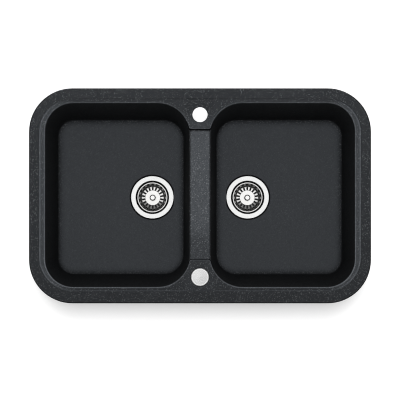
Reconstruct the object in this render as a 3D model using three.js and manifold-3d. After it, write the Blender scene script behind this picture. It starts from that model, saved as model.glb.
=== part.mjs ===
// A drop-in double bowl kitchen sink in cast granite composite, with its two basket wastes,
// its overflow and its worktop clamps. Millimetres, +Z up, +X to the right, +Y to the rear.
// The origin is the centre of the worktop cut-out, on top of the worktop.
import * as THREE from 'three';
import { mergeVertices } from 'three/addons/utils/BufferGeometryUtils.js';
import Module from 'manifold-3d';

const wasm = await Module();
wasm.setup();

const fit = 0.3; // gap kept between pieces that touch

// Rim and deck
const sinkWidth = 795;
const sinkDepth = 500;
const rimCorner = 101;
const rimHeight = 9; // raised band above the worktop
const rimShoulder = 4.5; // round on the outer top edge
const rimFoot = 1.5; // chamfer on the outer bottom edge
const bandSide = 23.7;
const bandRear = 25.4;
const bandFront = 30;
const stepDrop = 2.5; // from the raised band down to the ledge
const stepSlope = 1.2;
const deckThickness = 10.5;
const seatWidth = 12; // rim that lies over the worktop, up to the locating step
const cutOutPlay = 2; // between the locating step and the cut-out

// Bowls
const dividerWidth = 47.4;
const ledgeSide = 14;
const ledgeRear = 9.4;
const ledgeFront = 8.5;
const bowlCornerOuter = 65;
const bowlCornerInner = 75;
const bowlDepth = 188.5; // ledge to the edge of the floor
const floorFall = 4; // from the edge of the floor to the drain
const wallThickness = 9;
const draftSide = THREE.MathUtils.degToRad(4.9);
const draftEnd = THREE.MathUtils.degToRad(8.5);
const coveRadius = 24;
const lipRadius = 4;

// Lowered divider between the two pads
const dividerDrop = 12;
const padRear = 60.2; // rear edge of the bowls to the end of the tap pad
const padFront = 63.5; // front edge of the bowls to the end of the overflow pad
const padCorner = 8;
const padOverlap = 8; // divider bar that runs on under each pad

// Tap hole
const tapHoleRadius = 17.5;
const tapHoleInset = 61; // from the rear edge of the sink

// Basket wastes
const drainFromDivider = 92.5;
const flangeRadius = 52;
const recessPlay = 3;
const flangeGasket = 1.5;
const sheet = 1.4;
const throatRadius = 39.5;
const cupDepth = 41;
const cupTaper = 3;
const floorHolePlay = 5;
const drainSeatThickness = 9;
const hubRadius = 9;
const hubDepth = 9;
const hubTaper = 1.4;
const drainHoles = 6;
const drainHoleRadius = 5.4;
const drainHoleRing = 15.5;

// Basket
const basketRim = 37;
const basketMouth = 33.6;
const basketHeight = 31;
const basketSheet = 0.9;
const basketFoot = 29;
const basketDisc = 18.6;
const discRise = 1.5;
const slotCount = 18;
const slotWidth = 3.6;
const slotInner = 20;
const slotRise = 6; // how far the slots climb the basket wall
const sealRadius = 24.5;
const sealThickness = 4;
const sealLip = 3;
const stemRadius = 2.5;
const collarRadius = 5;
const collarThickness = 1.2;
const knobRadius = 6.6;
const knobHeight = 10.5;
const knobNeck = 4.6;
const clipWire = 0.55;
const clipGroove = 0.5;

// Waste body under each bowl
const bodyGasket = 4;
const bodyWall = 3;
const bodyPlay = 5; // between the steel cup and the waste body
const bodyFlange = 6;
const bodyStraight = 33; // straight wall below the flange
const bodyCone = 22;
const outletRadius = 24; // thread of the outlet, for a 1 1/2 inch coupling
const outletLength = 32;
const bossRadius = 8;
const bossLength = 22;
const ribThickness = 3;
const ribCount = 4;
const insertRadius = 4.6;
const insertLength = 14;
const screwRadius = 3;
const screwHead = 6.3;
const screwHeadHeight = 6.5;
const screwPast = 4; // screw showing below the insert
const portDrop = 18.7; // waste body flange to the axis of the overflow port
const portReach = 78; // drain axis to the end of the port

// Rigid overflow pipes
const pipeRadius = 11;
const pipeWall = 1.8;
const socketWall = 3;
const socketDepth = 18;
const elbowGap = 2; // between the two nuts on the elbow
const nutWall = 4;
const nutGrip = 11;
const nutLip = 3;
const pipeSeal = 3;

// Overflow under the round cover
const overflowInset = 61; // from the front edge of the sink
const coverRadius = 20.8;
const coverThickness = 2.4;
const coverRise = 1.2;
const coverBevel = 1;
const overflowRecess = 4;
const overflowRecessPlay = 2.3;
const overflowHole = 15.5;
const nubCount = 3;
const nubRadius = 1.8;
const nubRing = 18;
const studRadius = 2.5;
const overflowGasket = 2;
const funnelFlange = 25;
const funnelPlate = 3;
const funnelStraight = 9.5;
const funnelCone = 8;
const funnelNeck = 10; // from the cone to the pipe socket
const funnelBoss = 5;
const funnelBossLength = 14;
const funnelRibs = 3;

// Sealing strip under the rim
const stripInset = 3;
const stripWidth = 5;
const stripThickness = 1.7;

// Worktop clamps
const clampFromCutOut = 9.5; // screw axis to the edge of the cut-out
const clampBoss = 6.5;
const clampBossLength = 26;
const clampScrew = 2.5;
const clampBore = 2.9;
const clampBoreDepth = 31;
const clampEngaged = 10; // screw inside its boss at rest
const clampDrop = 15; // boss to claw at rest
const clawHub = 7;
const clawThickness = 12;
const clawReach = 30;
const clawTooth = 6;
const clawArm = 6;
const clampHead = 5;
const clampHeadHeight = 3.6;

// Facets
const cornerSteps = 6;
const coveSteps = 4;
const lipSteps = 2;
const roundSteps = 24;
const smallSteps = 12;
const pipeSteps = 16;
const basketSteps = slotCount;

// Levels and outlines that follow from the sizes above
const ledge = rimHeight - stepDrop;
const deckBottom = ledge - deckThickness;
const cutOut = {
  x: sinkWidth / 2 - seatWidth + cutOutPlay,
  y: sinkDepth / 2 - seatWidth + cutOutPlay,
};
const opening = {
  xMin: dividerWidth / 2,
  xMax: sinkWidth / 2 - bandSide - ledgeSide,
  yMin: -(sinkDepth / 2 - bandFront - ledgeFront),
  yMax: sinkDepth / 2 - bandRear - ledgeRear,
};
const drain = {
  x: opening.xMin + drainFromDivider,
  y: (opening.yMin + opening.yMax) / 2,
  z: ledge - bowlDepth - floorFall,
};
const recessRadius = flangeRadius + recessPlay;
const recessDepth = flangeGasket + sheet + 2 * fit;
const floorHole = throatRadius + floorHolePlay;
const seatBottom = -recessDepth - drainSeatThickness;
const tapHoleY = sinkDepth / 2 - tapHoleInset;
const overflowY = -(sinkDepth / 2 - overflowInset);
const dividerTop = ledge - dividerDrop;
const padEnds = { rear: opening.yMax - padRear, front: opening.yMin + padFront };

const finishes = {
  granite: new THREE.MeshStandardMaterial({ color: 0x36383b, roughness: 0.62, metalness: 0 }),
  steel: new THREE.MeshStandardMaterial({ color: 0xd9dad8, roughness: 0.28, metalness: 1 }),
  rubber: new THREE.MeshStandardMaterial({ color: 0x17181a, roughness: 0.8, metalness: 0 }),
  plastic: new THREE.MeshStandardMaterial({ color: 0xe4e5e3, roughness: 0.45, metalness: 0 }),
  brass: new THREE.MeshStandardMaterial({ color: 0xc49a4b, roughness: 0.35, metalness: 1 }),
  zinc: new THREE.MeshStandardMaterial({ color: 0xb4b8bb, roughness: 0.4, metalness: 1 }),
  foam: new THREE.MeshStandardMaterial({ color: 0x2a2b2d, roughness: 0.95, metalness: 0 }),
};

// Solids

function solidOf(geometry) {
  const bare = geometry.clone();
  bare.deleteAttribute('normal');
  bare.deleteAttribute('uv');
  const merged = mergeVertices(bare, 1e-4);
  const corners = [];
  for (let i = 0; i < merged.index.count; i += 3) {
    const [a, b, c] = [0, 1, 2].map((k) => merged.index.getX(i + k));
    if (a !== b && b !== c && c !== a) corners.push(a, b, c);
  }
  const mesh = new wasm.Mesh({
    numProp: 3,
    vertProperties: new Float32Array(merged.attributes.position.array),
    triVerts: new Uint32Array(corners),
  });
  return new wasm.Manifold(mesh);
}

function geometryOf(solid) {
  const mesh = solid.getMesh();
  const geometry = new THREE.BufferGeometry();
  geometry.setAttribute('position', new THREE.BufferAttribute(mesh.vertProperties, 3));
  geometry.setIndex(new THREE.BufferAttribute(mesh.triVerts, 1));
  geometry.computeVertexNormals();
  return geometry;
}

const join = (first, ...others) => others.reduce((sum, other) => sum.add(other), first);
const cut = (first, ...others) => others.reduce((sum, other) => sum.subtract(other), first);

function box(xMin, xMax, yMin, yMax, zMin, zMax) {
  const geometry = new THREE.BoxGeometry(xMax - xMin, yMax - yMin, zMax - zMin);
  geometry.translate((xMin + xMax) / 2, (yMin + yMax) / 2, (zMin + zMax) / 2);
  return solidOf(geometry);
}

function cylinder(radius, zMin, zMax, { x = 0, y = 0, steps = smallSteps } = {}) {
  const geometry = new THREE.CylinderGeometry(radius, radius, zMax - zMin, steps);
  geometry.rotateX(Math.PI / 2);
  geometry.translate(x, y, (zMin + zMax) / 2);
  return solidOf(geometry);
}

// Turns a closed outline of [radius, height] points about the Z axis.
function turned(outline, steps = roundSteps) {
  const points = outline.map(([r, z]) => new THREE.Vector2(r, z));
  if (THREE.ShapeUtils.area(points) < 0) points.reverse();
  points.push(points[0].clone());
  const geometry = new THREE.LatheGeometry(points, steps);
  geometry.rotateX(Math.PI / 2);
  return solidOf(geometry);
}

// Thickens an open path of [radius, height] points, to its right-hand side, into an outline.
function sheetOutline(path, thickness) {
  const points = path.map(([r, z]) => new THREE.Vector2(r, z));
  const normals = points.slice(1).map((point, i) => {
    const along = point.clone().sub(points[i]).normalize();
    return new THREE.Vector2(along.y, -along.x);
  });
  const far = points.map((point, i) => {
    const before = normals[Math.max(i - 1, 0)];
    const after = normals[Math.min(i, normals.length - 1)];
    const mitre = before.clone().add(after).normalize();
    return point.clone().addScaledVector(mitre, thickness / mitre.dot(after));
  });
  return [...points, ...far.reverse()].map((point) => [point.x, point.y]);
}

// One level of a bowl or rim: a rectangle with its own radius at each corner, drawn
// anticlockwise from the corner at xMax, yMax.
function roundedRing({ xMin, xMax, yMin, yMax, radii }, z) {
  const [a, b, c, d] = radii;
  const corners = [
    [xMax - a, yMax - a, a, 0],
    [xMin + b, yMax - b, b, 1],
    [xMin + c, yMin + c, c, 2],
    [xMax - d, yMin + d, d, 3],
  ];
  return corners.flatMap(([x, y, radius, quarter]) =>
    Array.from({ length: cornerSteps + 1 }, (_, i) => {
      const angle = (quarter + i / cornerSteps) * (Math.PI / 2);
      return new THREE.Vector3(x + radius * Math.cos(angle), y + radius * Math.sin(angle), z);
    }),
  );
}

// A ring of the same number of points round a circle, for the drain in the floor.
function circleRing(x, y, radius, z) {
  return roundedRing(
    {
      xMin: x - radius,
      xMax: x + radius,
      yMin: y - radius,
      yMax: y + radius,
      radii: Array(4).fill(radius * 0.999),
    },
    z,
  );
}

// Skins a stack of rings from bottom to top and closes both ends.
function lofted(rings) {
  const count = rings[0].length;
  const centre = (ring) =>
    ring.reduce((sum, point) => sum.add(point), new THREE.Vector3()).divideScalar(count);
  const points = [...rings.flat(), centre(rings[0]), centre(rings.at(-1))];
  const low = points.length - 2;
  const high = points.length - 1;
  const faces = [];
  for (let i = 0; i < count; i += 1) {
    const next = (i + 1) % count;
    faces.push(low, next, i);
    const top = (rings.length - 1) * count;
    faces.push(high, top + i, top + next);
    for (let level = 0; level < rings.length - 1; level += 1) {
      const here = level * count;
      const above = here + count;
      faces.push(here + i, here + next, above + next);
      faces.push(here + i, above + next, above + i);
    }
  }
  const geometry = new THREE.BufferGeometry().setFromPoints(points);
  geometry.setIndex(faces);
  return solidOf(geometry);
}

// Pulls a solid out of a flat outline, from zMin to zMax.
function extruded(points, zMin, zMax) {
  const shape = new THREE.Shape(points.map(([x, y]) => new THREE.Vector2(x, y)));
  const geometry = new THREE.ExtrudeGeometry(shape, { depth: zMax - zMin, bevelEnabled: false });
  geometry.translate(0, 0, zMin);
  return solidOf(geometry);
}

function arc(x, y, radius, from, to, steps) {
  return Array.from({ length: steps + 1 }, (_, i) => {
    const angle = THREE.MathUtils.degToRad(from + ((to - from) * i) / steps);
    return [x + radius * Math.cos(angle), y + radius * Math.sin(angle)];
  });
}

// Rim

const rimOutline = (inset) => ({
  xMin: -sinkWidth / 2 + inset,
  xMax: sinkWidth / 2 - inset,
  yMin: -sinkDepth / 2 + inset,
  yMax: sinkDepth / 2 - inset,
  radii: Array(4).fill(rimCorner - inset),
});

const pocketOutline = (outset) => ({
  xMin: -sinkWidth / 2 + bandSide - outset,
  xMax: sinkWidth / 2 - bandSide + outset,
  yMin: -sinkDepth / 2 + bandFront - outset,
  yMax: sinkDepth / 2 - bandRear + outset,
  radii: Array(4).fill(rimCorner - bandSide + outset),
});

function rimSolid() {
  const shoulder = Array.from({ length: lipSteps + 1 }, (_, i) => {
    const angle = (i / lipSteps) * (Math.PI / 2);
    const inset = rimShoulder * (1 - Math.cos(angle));
    return roundedRing(rimOutline(inset), rimHeight - rimShoulder * (1 - Math.sin(angle)));
  });
  const plate = lofted([
    roundedRing(rimOutline(rimFoot), 0),
    roundedRing(rimOutline(0), rimFoot),
    ...shoulder,
  ]);
  const locatingStep = lofted([
    roundedRing(rimOutline(seatWidth), deckBottom),
    roundedRing(rimOutline(seatWidth), ledge - stepDrop),
  ]);
  const pocket = lofted([
    roundedRing(pocketOutline(0), ledge),
    roundedRing(pocketOutline(stepSlope), rimHeight),
    roundedRing(pocketOutline(stepSlope), rimHeight + rimShoulder),
  ]);
  return cut(join(plate, locatingStep), pocket);
}

// Bowls. A wall leans in by its draft and then turns into the floor along the cove.

function wallInset(depth, draft, cove) {
  const intoCove = Math.max(depth - (bowlDepth - cove), 0);
  return depth * Math.tan(draft) + cove - Math.sqrt(Math.max(cove ** 2 - intoCove ** 2, 0));
}

function bowlOutline(side, depth, outset, cove = coveRadius) {
  const sideInset = wallInset(depth, draftSide, cove) - outset;
  const endInset = wallInset(depth, draftEnd, cove) - outset;
  const near = opening.xMin + sideInset;
  const far = opening.xMax - sideInset;
  const outer = bowlCornerOuter - endInset;
  const inner = bowlCornerInner - endInset;
  return {
    xMin: side > 0 ? near : -far,
    xMax: side > 0 ? far : -near,
    yMin: opening.yMin + endInset,
    yMax: opening.yMax - endInset,
    radii: side > 0 ? [outer, inner, inner, outer] : [inner, outer, outer, inner],
  };
}

const coveDepths = Array.from({ length: coveSteps + 1 }, (_, i) => {
  const angle = (i / coveSteps) * (Math.PI / 2);
  return bowlDepth - coveRadius * (1 - Math.sin(angle));
});

function bowlCavity(side) {
  const lip = Array.from({ length: lipSteps + 1 }, (_, i) => {
    const angle = (i / lipSteps) * (Math.PI / 2);
    const outset = lipRadius * (1 - Math.cos(angle));
    return roundedRing(bowlOutline(side, 0, outset), ledge - lipRadius * (1 - Math.sin(angle)));
  });
  return lofted([
    circleRing(side * drain.x, drain.y, recessRadius, drain.z),
    ...coveDepths.toReversed().map((depth) => roundedRing(bowlOutline(side, depth, 0), ledge - depth)),
    ...lip,
    roundedRing(bowlOutline(side, 0, lipRadius), rimHeight + lipRadius),
  ]);
}

function bowlShell(side) {
  const drop = drainSeatThickness + recessDepth;
  return lofted([
    circleRing(side * drain.x, drain.y, recessRadius + wallThickness, drain.z - drop),
    ...coveDepths.toReversed().map((depth, i) => {
      const lowered = (drop * (coveSteps - i)) / coveSteps;
      return roundedRing(bowlOutline(side, depth, wallThickness), ledge - depth - lowered);
    }),
    roundedRing(bowlOutline(side, 0, wallThickness), ledge - lipRadius),
  ]);
}

function drainSeat(side) {
  const at = { x: side * drain.x, y: drain.y, steps: roundSteps };
  const recess = cylinder(recessRadius, drain.z - recessDepth, drain.z + floorFall, at);
  return join(recess, cylinder(floorHole, drain.z + 2 * seatBottom, drain.z, at));
}

// Lowers the divider between the pads, with a round edge towards each bowl.
function dividerCut() {
  const lowHalf = dividerWidth / 2 + dividerDrop * Math.tan(draftSide);
  const edge = dividerTop - lipRadius;
  const rightEdge = arc(lowHalf - lipRadius, edge, lipRadius, 90, 0, lipSteps);
  const leftEdge = arc(-lowHalf + lipRadius, edge, lipRadius, 180, 90, lipSteps);
  const wide = dividerWidth;
  const top = rimHeight + lipRadius;
  const section = [[-wide, top], [-wide, edge], ...leftEdge, ...rightEdge, [wide, edge], [wide, top]];
  const shape = new THREE.Shape(section.map(([x, z]) => new THREE.Vector2(x, z)));
  const yMin = padEnds.front - padCorner;
  const yMax = padEnds.rear + padCorner;
  const geometry = new THREE.ExtrudeGeometry(shape, { depth: yMax - yMin, bevelEnabled: false });
  geometry.rotateX(Math.PI / 2);
  geometry.translate(0, yMax, 0);
  return cut(solidOf(geometry), padKeep(1), padKeep(-1));
}

// The end of a pad in plan: straight, with a rounded corner towards each bowl.
function padKeep(direction) {
  const end = direction > 0 ? padEnds.rear : padEnds.front;
  const centre = bowlCornerInner + dividerWidth / 2;
  const rise = Math.max(bowlCornerInner - (direction > 0 ? padRear : padFront) + padCorner, 0);
  const half = centre - Math.sqrt(bowlCornerInner ** 2 - rise ** 2);
  const y = (along) => end + direction * along;
  const corner = Array.from({ length: 5 }, (_, i) => {
    const angle = (i / 4) * (Math.PI / 2);
    return [half - padCorner * (1 - Math.sin(angle)), y(padCorner * (1 - Math.cos(angle)))];
  });
  const outline = [
    ...corner,
    [dividerWidth * 1.5, y(padCorner)],
    [dividerWidth * 1.5, y(padCorner * 3)],
    [-dividerWidth * 1.5, y(padCorner * 3)],
    [-dividerWidth * 1.5, y(padCorner)],
    ...corner.toReversed().map(([x, along]) => [-x, along]),
  ];
  return extruded(outline, dividerTop - 2 * lipRadius, rimHeight + 2 * lipRadius);
}

// Places of the worktop clamps: screw axis and the way out under the worktop.
const clampAt = {
  x: cutOut.x - clampFromCutOut,
  y: cutOut.y - clampFromCutOut,
  bowl: (opening.xMin + opening.xMax) / 2, // middle of a bowl
};
const clampSpots = [
  { name: 'rear_left', x: -clampAt.bowl, y: clampAt.y, out: 90 },
  { name: 'rear_right', x: clampAt.bowl, y: clampAt.y, out: 90 },
  { name: 'front_left', x: -clampAt.bowl, y: -clampAt.y, out: -90 },
  { name: 'front_right', x: clampAt.bowl, y: -clampAt.y, out: -90 },
  { name: 'left', x: -clampAt.x, y: drain.y, out: 180 },
  { name: 'right', x: clampAt.x, y: drain.y, out: 0 },
];

function clampBosses() {
  return clampSpots.map(({ x, y, out }) => {
    const angle = THREE.MathUtils.degToRad(out);
    const web = new THREE.BoxGeometry(clampFromCutOut * 2, clampBoss, clampBossLength);
    web.translate(-clampFromCutOut, 0, 0);
    web.rotateZ(angle);
    web.translate(x, y, deckBottom - clampBossLength / 2 + fit);
    const boss = cylinder(clampBoss, deckBottom - clampBossLength, ledge - stepDrop, { x, y });
    return join(solidOf(web), boss);
  });
}

function sinkBody() {
  const bar = box(
    -dividerWidth / 2 - wallThickness / 2,
    dividerWidth / 2 + wallThickness / 2,
    padEnds.front - padOverlap,
    padEnds.rear + padOverlap,
    dividerTop - deckThickness,
    ledge - stepDrop,
  );
  const bores = clampSpots.map(({ x, y }) => {
    const mouth = deckBottom - clampBossLength;
    return cylinder(clampBore, mouth - 1, mouth + clampBoreDepth, { x, y });
  });
  const stripGroove = cut(
    lofted([
      roundedRing(rimOutline(stripInset), -1),
      roundedRing(rimOutline(stripInset), stripThickness + fit),
    ]),
    lofted([
      roundedRing(rimOutline(stripInset + stripWidth), -2),
      roundedRing(rimOutline(stripInset + stripWidth), stripThickness + 1),
    ]),
  );
  const tapHole = cylinder(tapHoleRadius, deckBottom - 1, rimHeight, { y: tapHoleY, steps: roundSteps });
  const overflowHollow = join(
    cylinder(overflowHole, deckBottom - 1, rimHeight, { y: overflowY, steps: roundSteps }),
    cylinder(coverRadius + overflowRecessPlay, ledge - overflowRecess, rimHeight, {
      y: overflowY,
      steps: roundSteps,
    }),
  );
  return cut(
    join(rimSolid(), bar, bowlShell(-1), bowlShell(1), ...clampBosses()),
    bowlCavity(-1),
    bowlCavity(1),
    drainSeat(-1),
    drainSeat(1),
    dividerCut(),
    tapHole,
    overflowHollow,
    stripGroove,
    ...bores,
  );
}

function sealingStrip() {
  const inner = stripInset + stripWidth;
  return cut(
    lofted([
      roundedRing(rimOutline(stripInset + fit), 0),
      roundedRing(rimOutline(stripInset + fit), stripThickness),
    ]),
    lofted([
      roundedRing(rimOutline(inner - fit), -1),
      roundedRing(rimOutline(inner - fit), stripThickness + 1),
    ]),
  );
}

// Basket waste. Heights are from the top of the steel flange.

const cupFloor = -cupDepth;
const hubFloor = cupFloor - hubDepth;
const sealBottom = cupFloor + fit;
const sealTop = sealBottom + sealThickness;
const collarBottom = sealTop + fit;
const discBottom = collarBottom + collarThickness + fit;
const basketBottom = discBottom - discRise;
const basketTop = basketBottom + basketHeight;
const bodyTop = seatBottom - bodyGasket - 2 * fit;
const bodyInner = throatRadius + sheet + bodyPlay;
const coneTop = bodyTop - bodyStraight;
const coneBottom = coneTop - bodyCone;
const outletBottom = coneBottom - outletLength;
const outletBore = outletRadius - bodyWall - 1;
const bossTop = hubFloor - sheet - 2;
const bossBottom = bossTop - bossLength;
const portAxis = bodyTop - portDrop;
const socketInner = pipeRadius + fit;
const socketOuter = socketInner + socketWall;
const pipeBore = pipeRadius - pipeWall;
const nutOuter = socketOuter + nutWall;
const elbowReach = nutOuter + nutGrip + elbowGap;
const elbowSocket = socketDepth / 2 + 2;
const screwTop = hubFloor + fit + screwHeadHeight;
const socketFloor = hubFloor + 2 * fit + 0.5;
const stemBottom = socketFloor + fit;

function strainerCup() {
  const path = [
    [flangeRadius, -0.6],
    [flangeRadius - 1.2, 0],
    [throatRadius + 3.2, -0.4],
    [throatRadius + 1, -1.4],
    [throatRadius, -3.6],
    [throatRadius - cupTaper, cupFloor + 2.4],
    [throatRadius - cupTaper - 2.4, cupFloor],
    [hubRadius, cupFloor],
    [hubRadius - hubTaper, hubFloor],
    [screwRadius + fit, hubFloor],
  ];
  const cup = turned(sheetOutline(path, -sheet));
  const holes = Array.from({ length: drainHoles }, (_, i) => {
    const angle = (i / drainHoles) * 2 * Math.PI;
    const at = { x: drainHoleRing * Math.cos(angle), y: drainHoleRing * Math.sin(angle), steps: 10 };
    return cylinder(drainHoleRadius, cupFloor - 2 * sheet, cupFloor + sheet, at);
  });
  return cut(cup, ...holes);
}

function ringSolid(inner, outer, zMin, zMax, steps = roundSteps) {
  return turned([[inner, zMin], [outer, zMin], [outer, zMax], [inner, zMax]], steps);
}

const flangeSeal = () =>
  ringSolid(floorHole + 1, flangeRadius - 1, -recessDepth + fit, -recessDepth + fit + flangeGasket);

const bodySeal = () =>
  ringSolid(floorHole + 1, bodyInner + bodyFlange, seatBottom - fit - bodyGasket, seatBottom - fit);

const wasteNeck = () => ringSolid(outletBore, outletRadius, outletBottom, coneBottom - fit);

function wasteBody(portAngle) {
  const outerWall = bodyInner + bodyWall;
  const outside = [
    [0, bodyTop],
    [outerWall + bodyFlange, bodyTop],
    [outerWall + bodyFlange, bodyTop - bodyWall],
    [outerWall, bodyTop - bodyWall - 1.5],
    [outerWall, coneTop],
    [outletRadius, coneBottom],
    [0, coneBottom],
  ];
  const inside = [
    [0, bodyTop + 1],
    [bodyInner, bodyTop + 1],
    [bodyInner, coneTop + 1],
    [outletBore, coneBottom + 2],
    [outletBore, coneBottom - 1],
    [0, coneBottom - 1],
  ];
  const filled = turned(outside);
  const ribs = Array.from({ length: ribCount }, (_, i) => {
    const rib = new THREE.BoxGeometry(bodyInner + bodyWall, ribThickness, bossLength - 4);
    rib.translate((bodyInner + bodyWall) / 2, 0, bossTop - bossLength / 2);
    rib.rotateZ(((i + 0.5) / ribCount) * 2 * Math.PI);
    return solidOf(rib);
  });
  const spider = join(cylinder(bossRadius, bossBottom, bossTop), ...ribs).intersect(filled);
  const port = new THREE.CylinderGeometry(socketOuter, socketOuter, portReach - bodyInner, pipeSteps);
  const channel = new THREE.CylinderGeometry(pipeBore, pipeBore, portReach, pipeSteps);
  const socket = new THREE.CylinderGeometry(socketInner, socketInner, socketDepth * 2, pipeSteps);
  port.translate(0, (portReach + bodyInner) / 2, 0);
  channel.translate(0, bodyInner - 6 + portReach / 2, 0);
  socket.translate(0, portReach, 0);
  const [portSolid, channelSolid, socketSolid] = [port, channel, socket].map((geometry) => {
    geometry.rotateZ(portAngle - Math.PI / 2);
    geometry.translate(0, 0, portAxis);
    return solidOf(geometry);
  });
  return cut(
    join(cut(join(filled, portSolid), turned(inside)), spider),
    channelSolid,
    socketSolid,
    cylinder(insertRadius + fit, bossBottom - 1, bossTop + 1),
  );
}

function wasteScrew() {
  const tip = bossTop - insertLength - screwPast;
  return turned(
    [
      [0, tip],
      [screwRadius, tip],
      [screwRadius, hubFloor + fit],
      [screwHead, hubFloor + fit],
      [screwHead, screwTop],
      [stemRadius + 2 * clipWire + 0.2, screwTop],
      [stemRadius + 2 * clipWire + 0.2, socketFloor],
      [0, socketFloor],
    ],
    smallSteps,
  );
}

const screwInsert = () =>
  ringSolid(screwRadius + fit, insertRadius, bossTop - insertLength, bossTop - fit, smallSteps);

function basketSolid() {
  const path = [
    [basketRim, basketTop - 1.4],
    [basketRim - 0.6, basketTop],
    [basketMouth + 0.6, basketTop],
    [basketMouth, basketTop - 1.2],
    [basketFoot, basketBottom + 3],
    [basketFoot - 1.6, basketBottom + basketSheet],
    [basketDisc + 1, basketBottom + basketSheet],
    [basketDisc, basketBottom + basketSheet + discRise],
    [stemRadius + fit, basketBottom + basketSheet + discRise],
  ];
  const slots = Array.from({ length: slotCount }, (_, i) => {
    const slot = new THREE.BoxGeometry(basketRim - slotInner, slotWidth, slotRise + 2);
    slot.translate((basketRim + slotInner) / 2, 0, basketBottom + (slotRise + 2) / 2 - 1);
    slot.rotateZ(((i + 0.5) / slotCount) * 2 * Math.PI);
    return solidOf(slot);
  });
  return cut(turned(sheetOutline(path, -basketSheet), basketSteps), ...slots);
}

const basketSeal = () =>
  turned(
    [
      [stemRadius + fit, sealBottom + sealThickness / 2],
      [sealRadius - sealLip - 1, sealBottom + sealThickness / 2],
      [sealRadius - sealLip, sealBottom],
      [sealRadius, sealBottom],
      [sealRadius, sealTop - 1],
      [sealRadius - 1, sealTop],
      [stemRadius + fit, sealTop],
    ],
    roundSteps,
  );

const grooveHeight = stemBottom + 1.6;
const knobBottom = discBottom + basketSheet + fit;

function basketStem() {
  const groove = stemRadius - clipGroove;
  const lowCollar = sealBottom + sealThickness / 2 - fit;
  return turned(
    [
      [0, stemBottom],
      [stemRadius - 0.4, stemBottom],
      [stemRadius, grooveHeight - clipWire - 0.25],
      [groove, grooveHeight - clipWire - 0.25],
      [groove, grooveHeight + clipWire + 0.25],
      [stemRadius, grooveHeight + clipWire + 0.25],
      [stemRadius, lowCollar - collarThickness],
      [collarRadius - 0.5, lowCollar - collarThickness],
      [collarRadius - 0.5, lowCollar],
      [stemRadius, lowCollar],
      [stemRadius, collarBottom],
      [collarRadius, collarBottom],
      [collarRadius, collarBottom + collarThickness],
      [stemRadius, collarBottom + collarThickness],
      [stemRadius, knobBottom + knobHeight - 3],
      [0, knobBottom + knobHeight - 3],
    ],
    smallSteps,
  );
}

// An open ring of spring wire in the groove of the stem.
function stemClip() {
  const radius = stemRadius - clipGroove + clipWire + 0.25;
  const open = THREE.MathUtils.degToRad(40);
  const turns = 10;
  const points = Array.from({ length: turns + 1 }, (_, i) => {
    const angle = open / 2 + ((2 * Math.PI - open) * i) / turns;
    return [Math.cos(angle), Math.sin(angle)];
  });
  const rings = points.map(([x, y]) =>
    Array.from({ length: 5 }, (_, k) => {
      const around = (k / 5) * 2 * Math.PI;
      const reach = radius + clipWire * Math.cos(around);
      return new THREE.Vector3(x * reach, y * reach, grooveHeight + clipWire * Math.sin(around));
    }),
  );
  return lofted(rings.toReversed());
}

const basketKnob = () =>
  turned(
    [
      [0, knobBottom + knobHeight - 2.6],
      [stemRadius + fit, knobBottom + knobHeight - 2.6],
      [stemRadius + fit, knobBottom],
      [knobNeck + 1.4, knobBottom],
      [knobNeck, knobBottom + 2],
      [knobNeck, knobBottom + knobHeight - 4],
      [knobRadius, knobBottom + knobHeight - 2.4],
      [knobRadius, knobBottom + knobHeight - 0.8],
      [knobRadius - 0.8, knobBottom + knobHeight],
      [0, knobBottom + knobHeight],
    ],
    pipeSteps,
  );

// Compression joint at the mouth of a socket. Heights are from the mouth, outwards.

const pipeNut = () =>
  turned(
    [
      [socketOuter + fit, -nutGrip],
      [nutOuter, -nutGrip],
      [nutOuter, pipeSeal + 2 * fit],
      [nutOuter - 1.5, pipeSeal + 2 * fit + nutLip],
      [socketInner, pipeSeal + 2 * fit + nutLip],
      [socketInner, pipeSeal + 2 * fit],
      [socketOuter + fit, pipeSeal + 2 * fit],
    ],
    pipeSteps,
  );

const pipeSealRing = () =>
  turned(
    [
      [socketInner, fit],
      [socketOuter, fit],
      [socketOuter - 1, fit + pipeSeal],
      [socketInner, fit + pipeSeal],
    ],
    pipeSteps,
  );

const portCap = () =>
  turned(
    [
      [socketOuter + fit, -nutGrip],
      [nutOuter, -nutGrip],
      [nutOuter, pipeSeal + 2 * fit],
      [nutOuter - 1.5, pipeSeal + 2 * fit + nutLip],
      [0, pipeSeal + 2 * fit + nutLip],
      [0, pipeSeal + 2 * fit],
      [socketOuter + fit, pipeSeal + 2 * fit],
    ],
    pipeSteps,
  );

const capSeal = () => cylinder(socketOuter, fit, fit + pipeSeal, { steps: pipeSteps });

const pipe = (length) => ringSolid(pipeBore, pipeRadius, 0, length, pipeSteps);

// Overflow. Heights are from the underside of the deck.

const funnelTop = -overflowGasket - 2 * fit;
const funnelConeTop = funnelTop - funnelStraight;
const funnelConeBottom = funnelConeTop - funnelCone;
const funnelSocketTop = funnelConeBottom - funnelNeck;
const funnelMouth = funnelSocketTop - socketDepth;
const funnelBore = overflowHole + 1;

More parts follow.
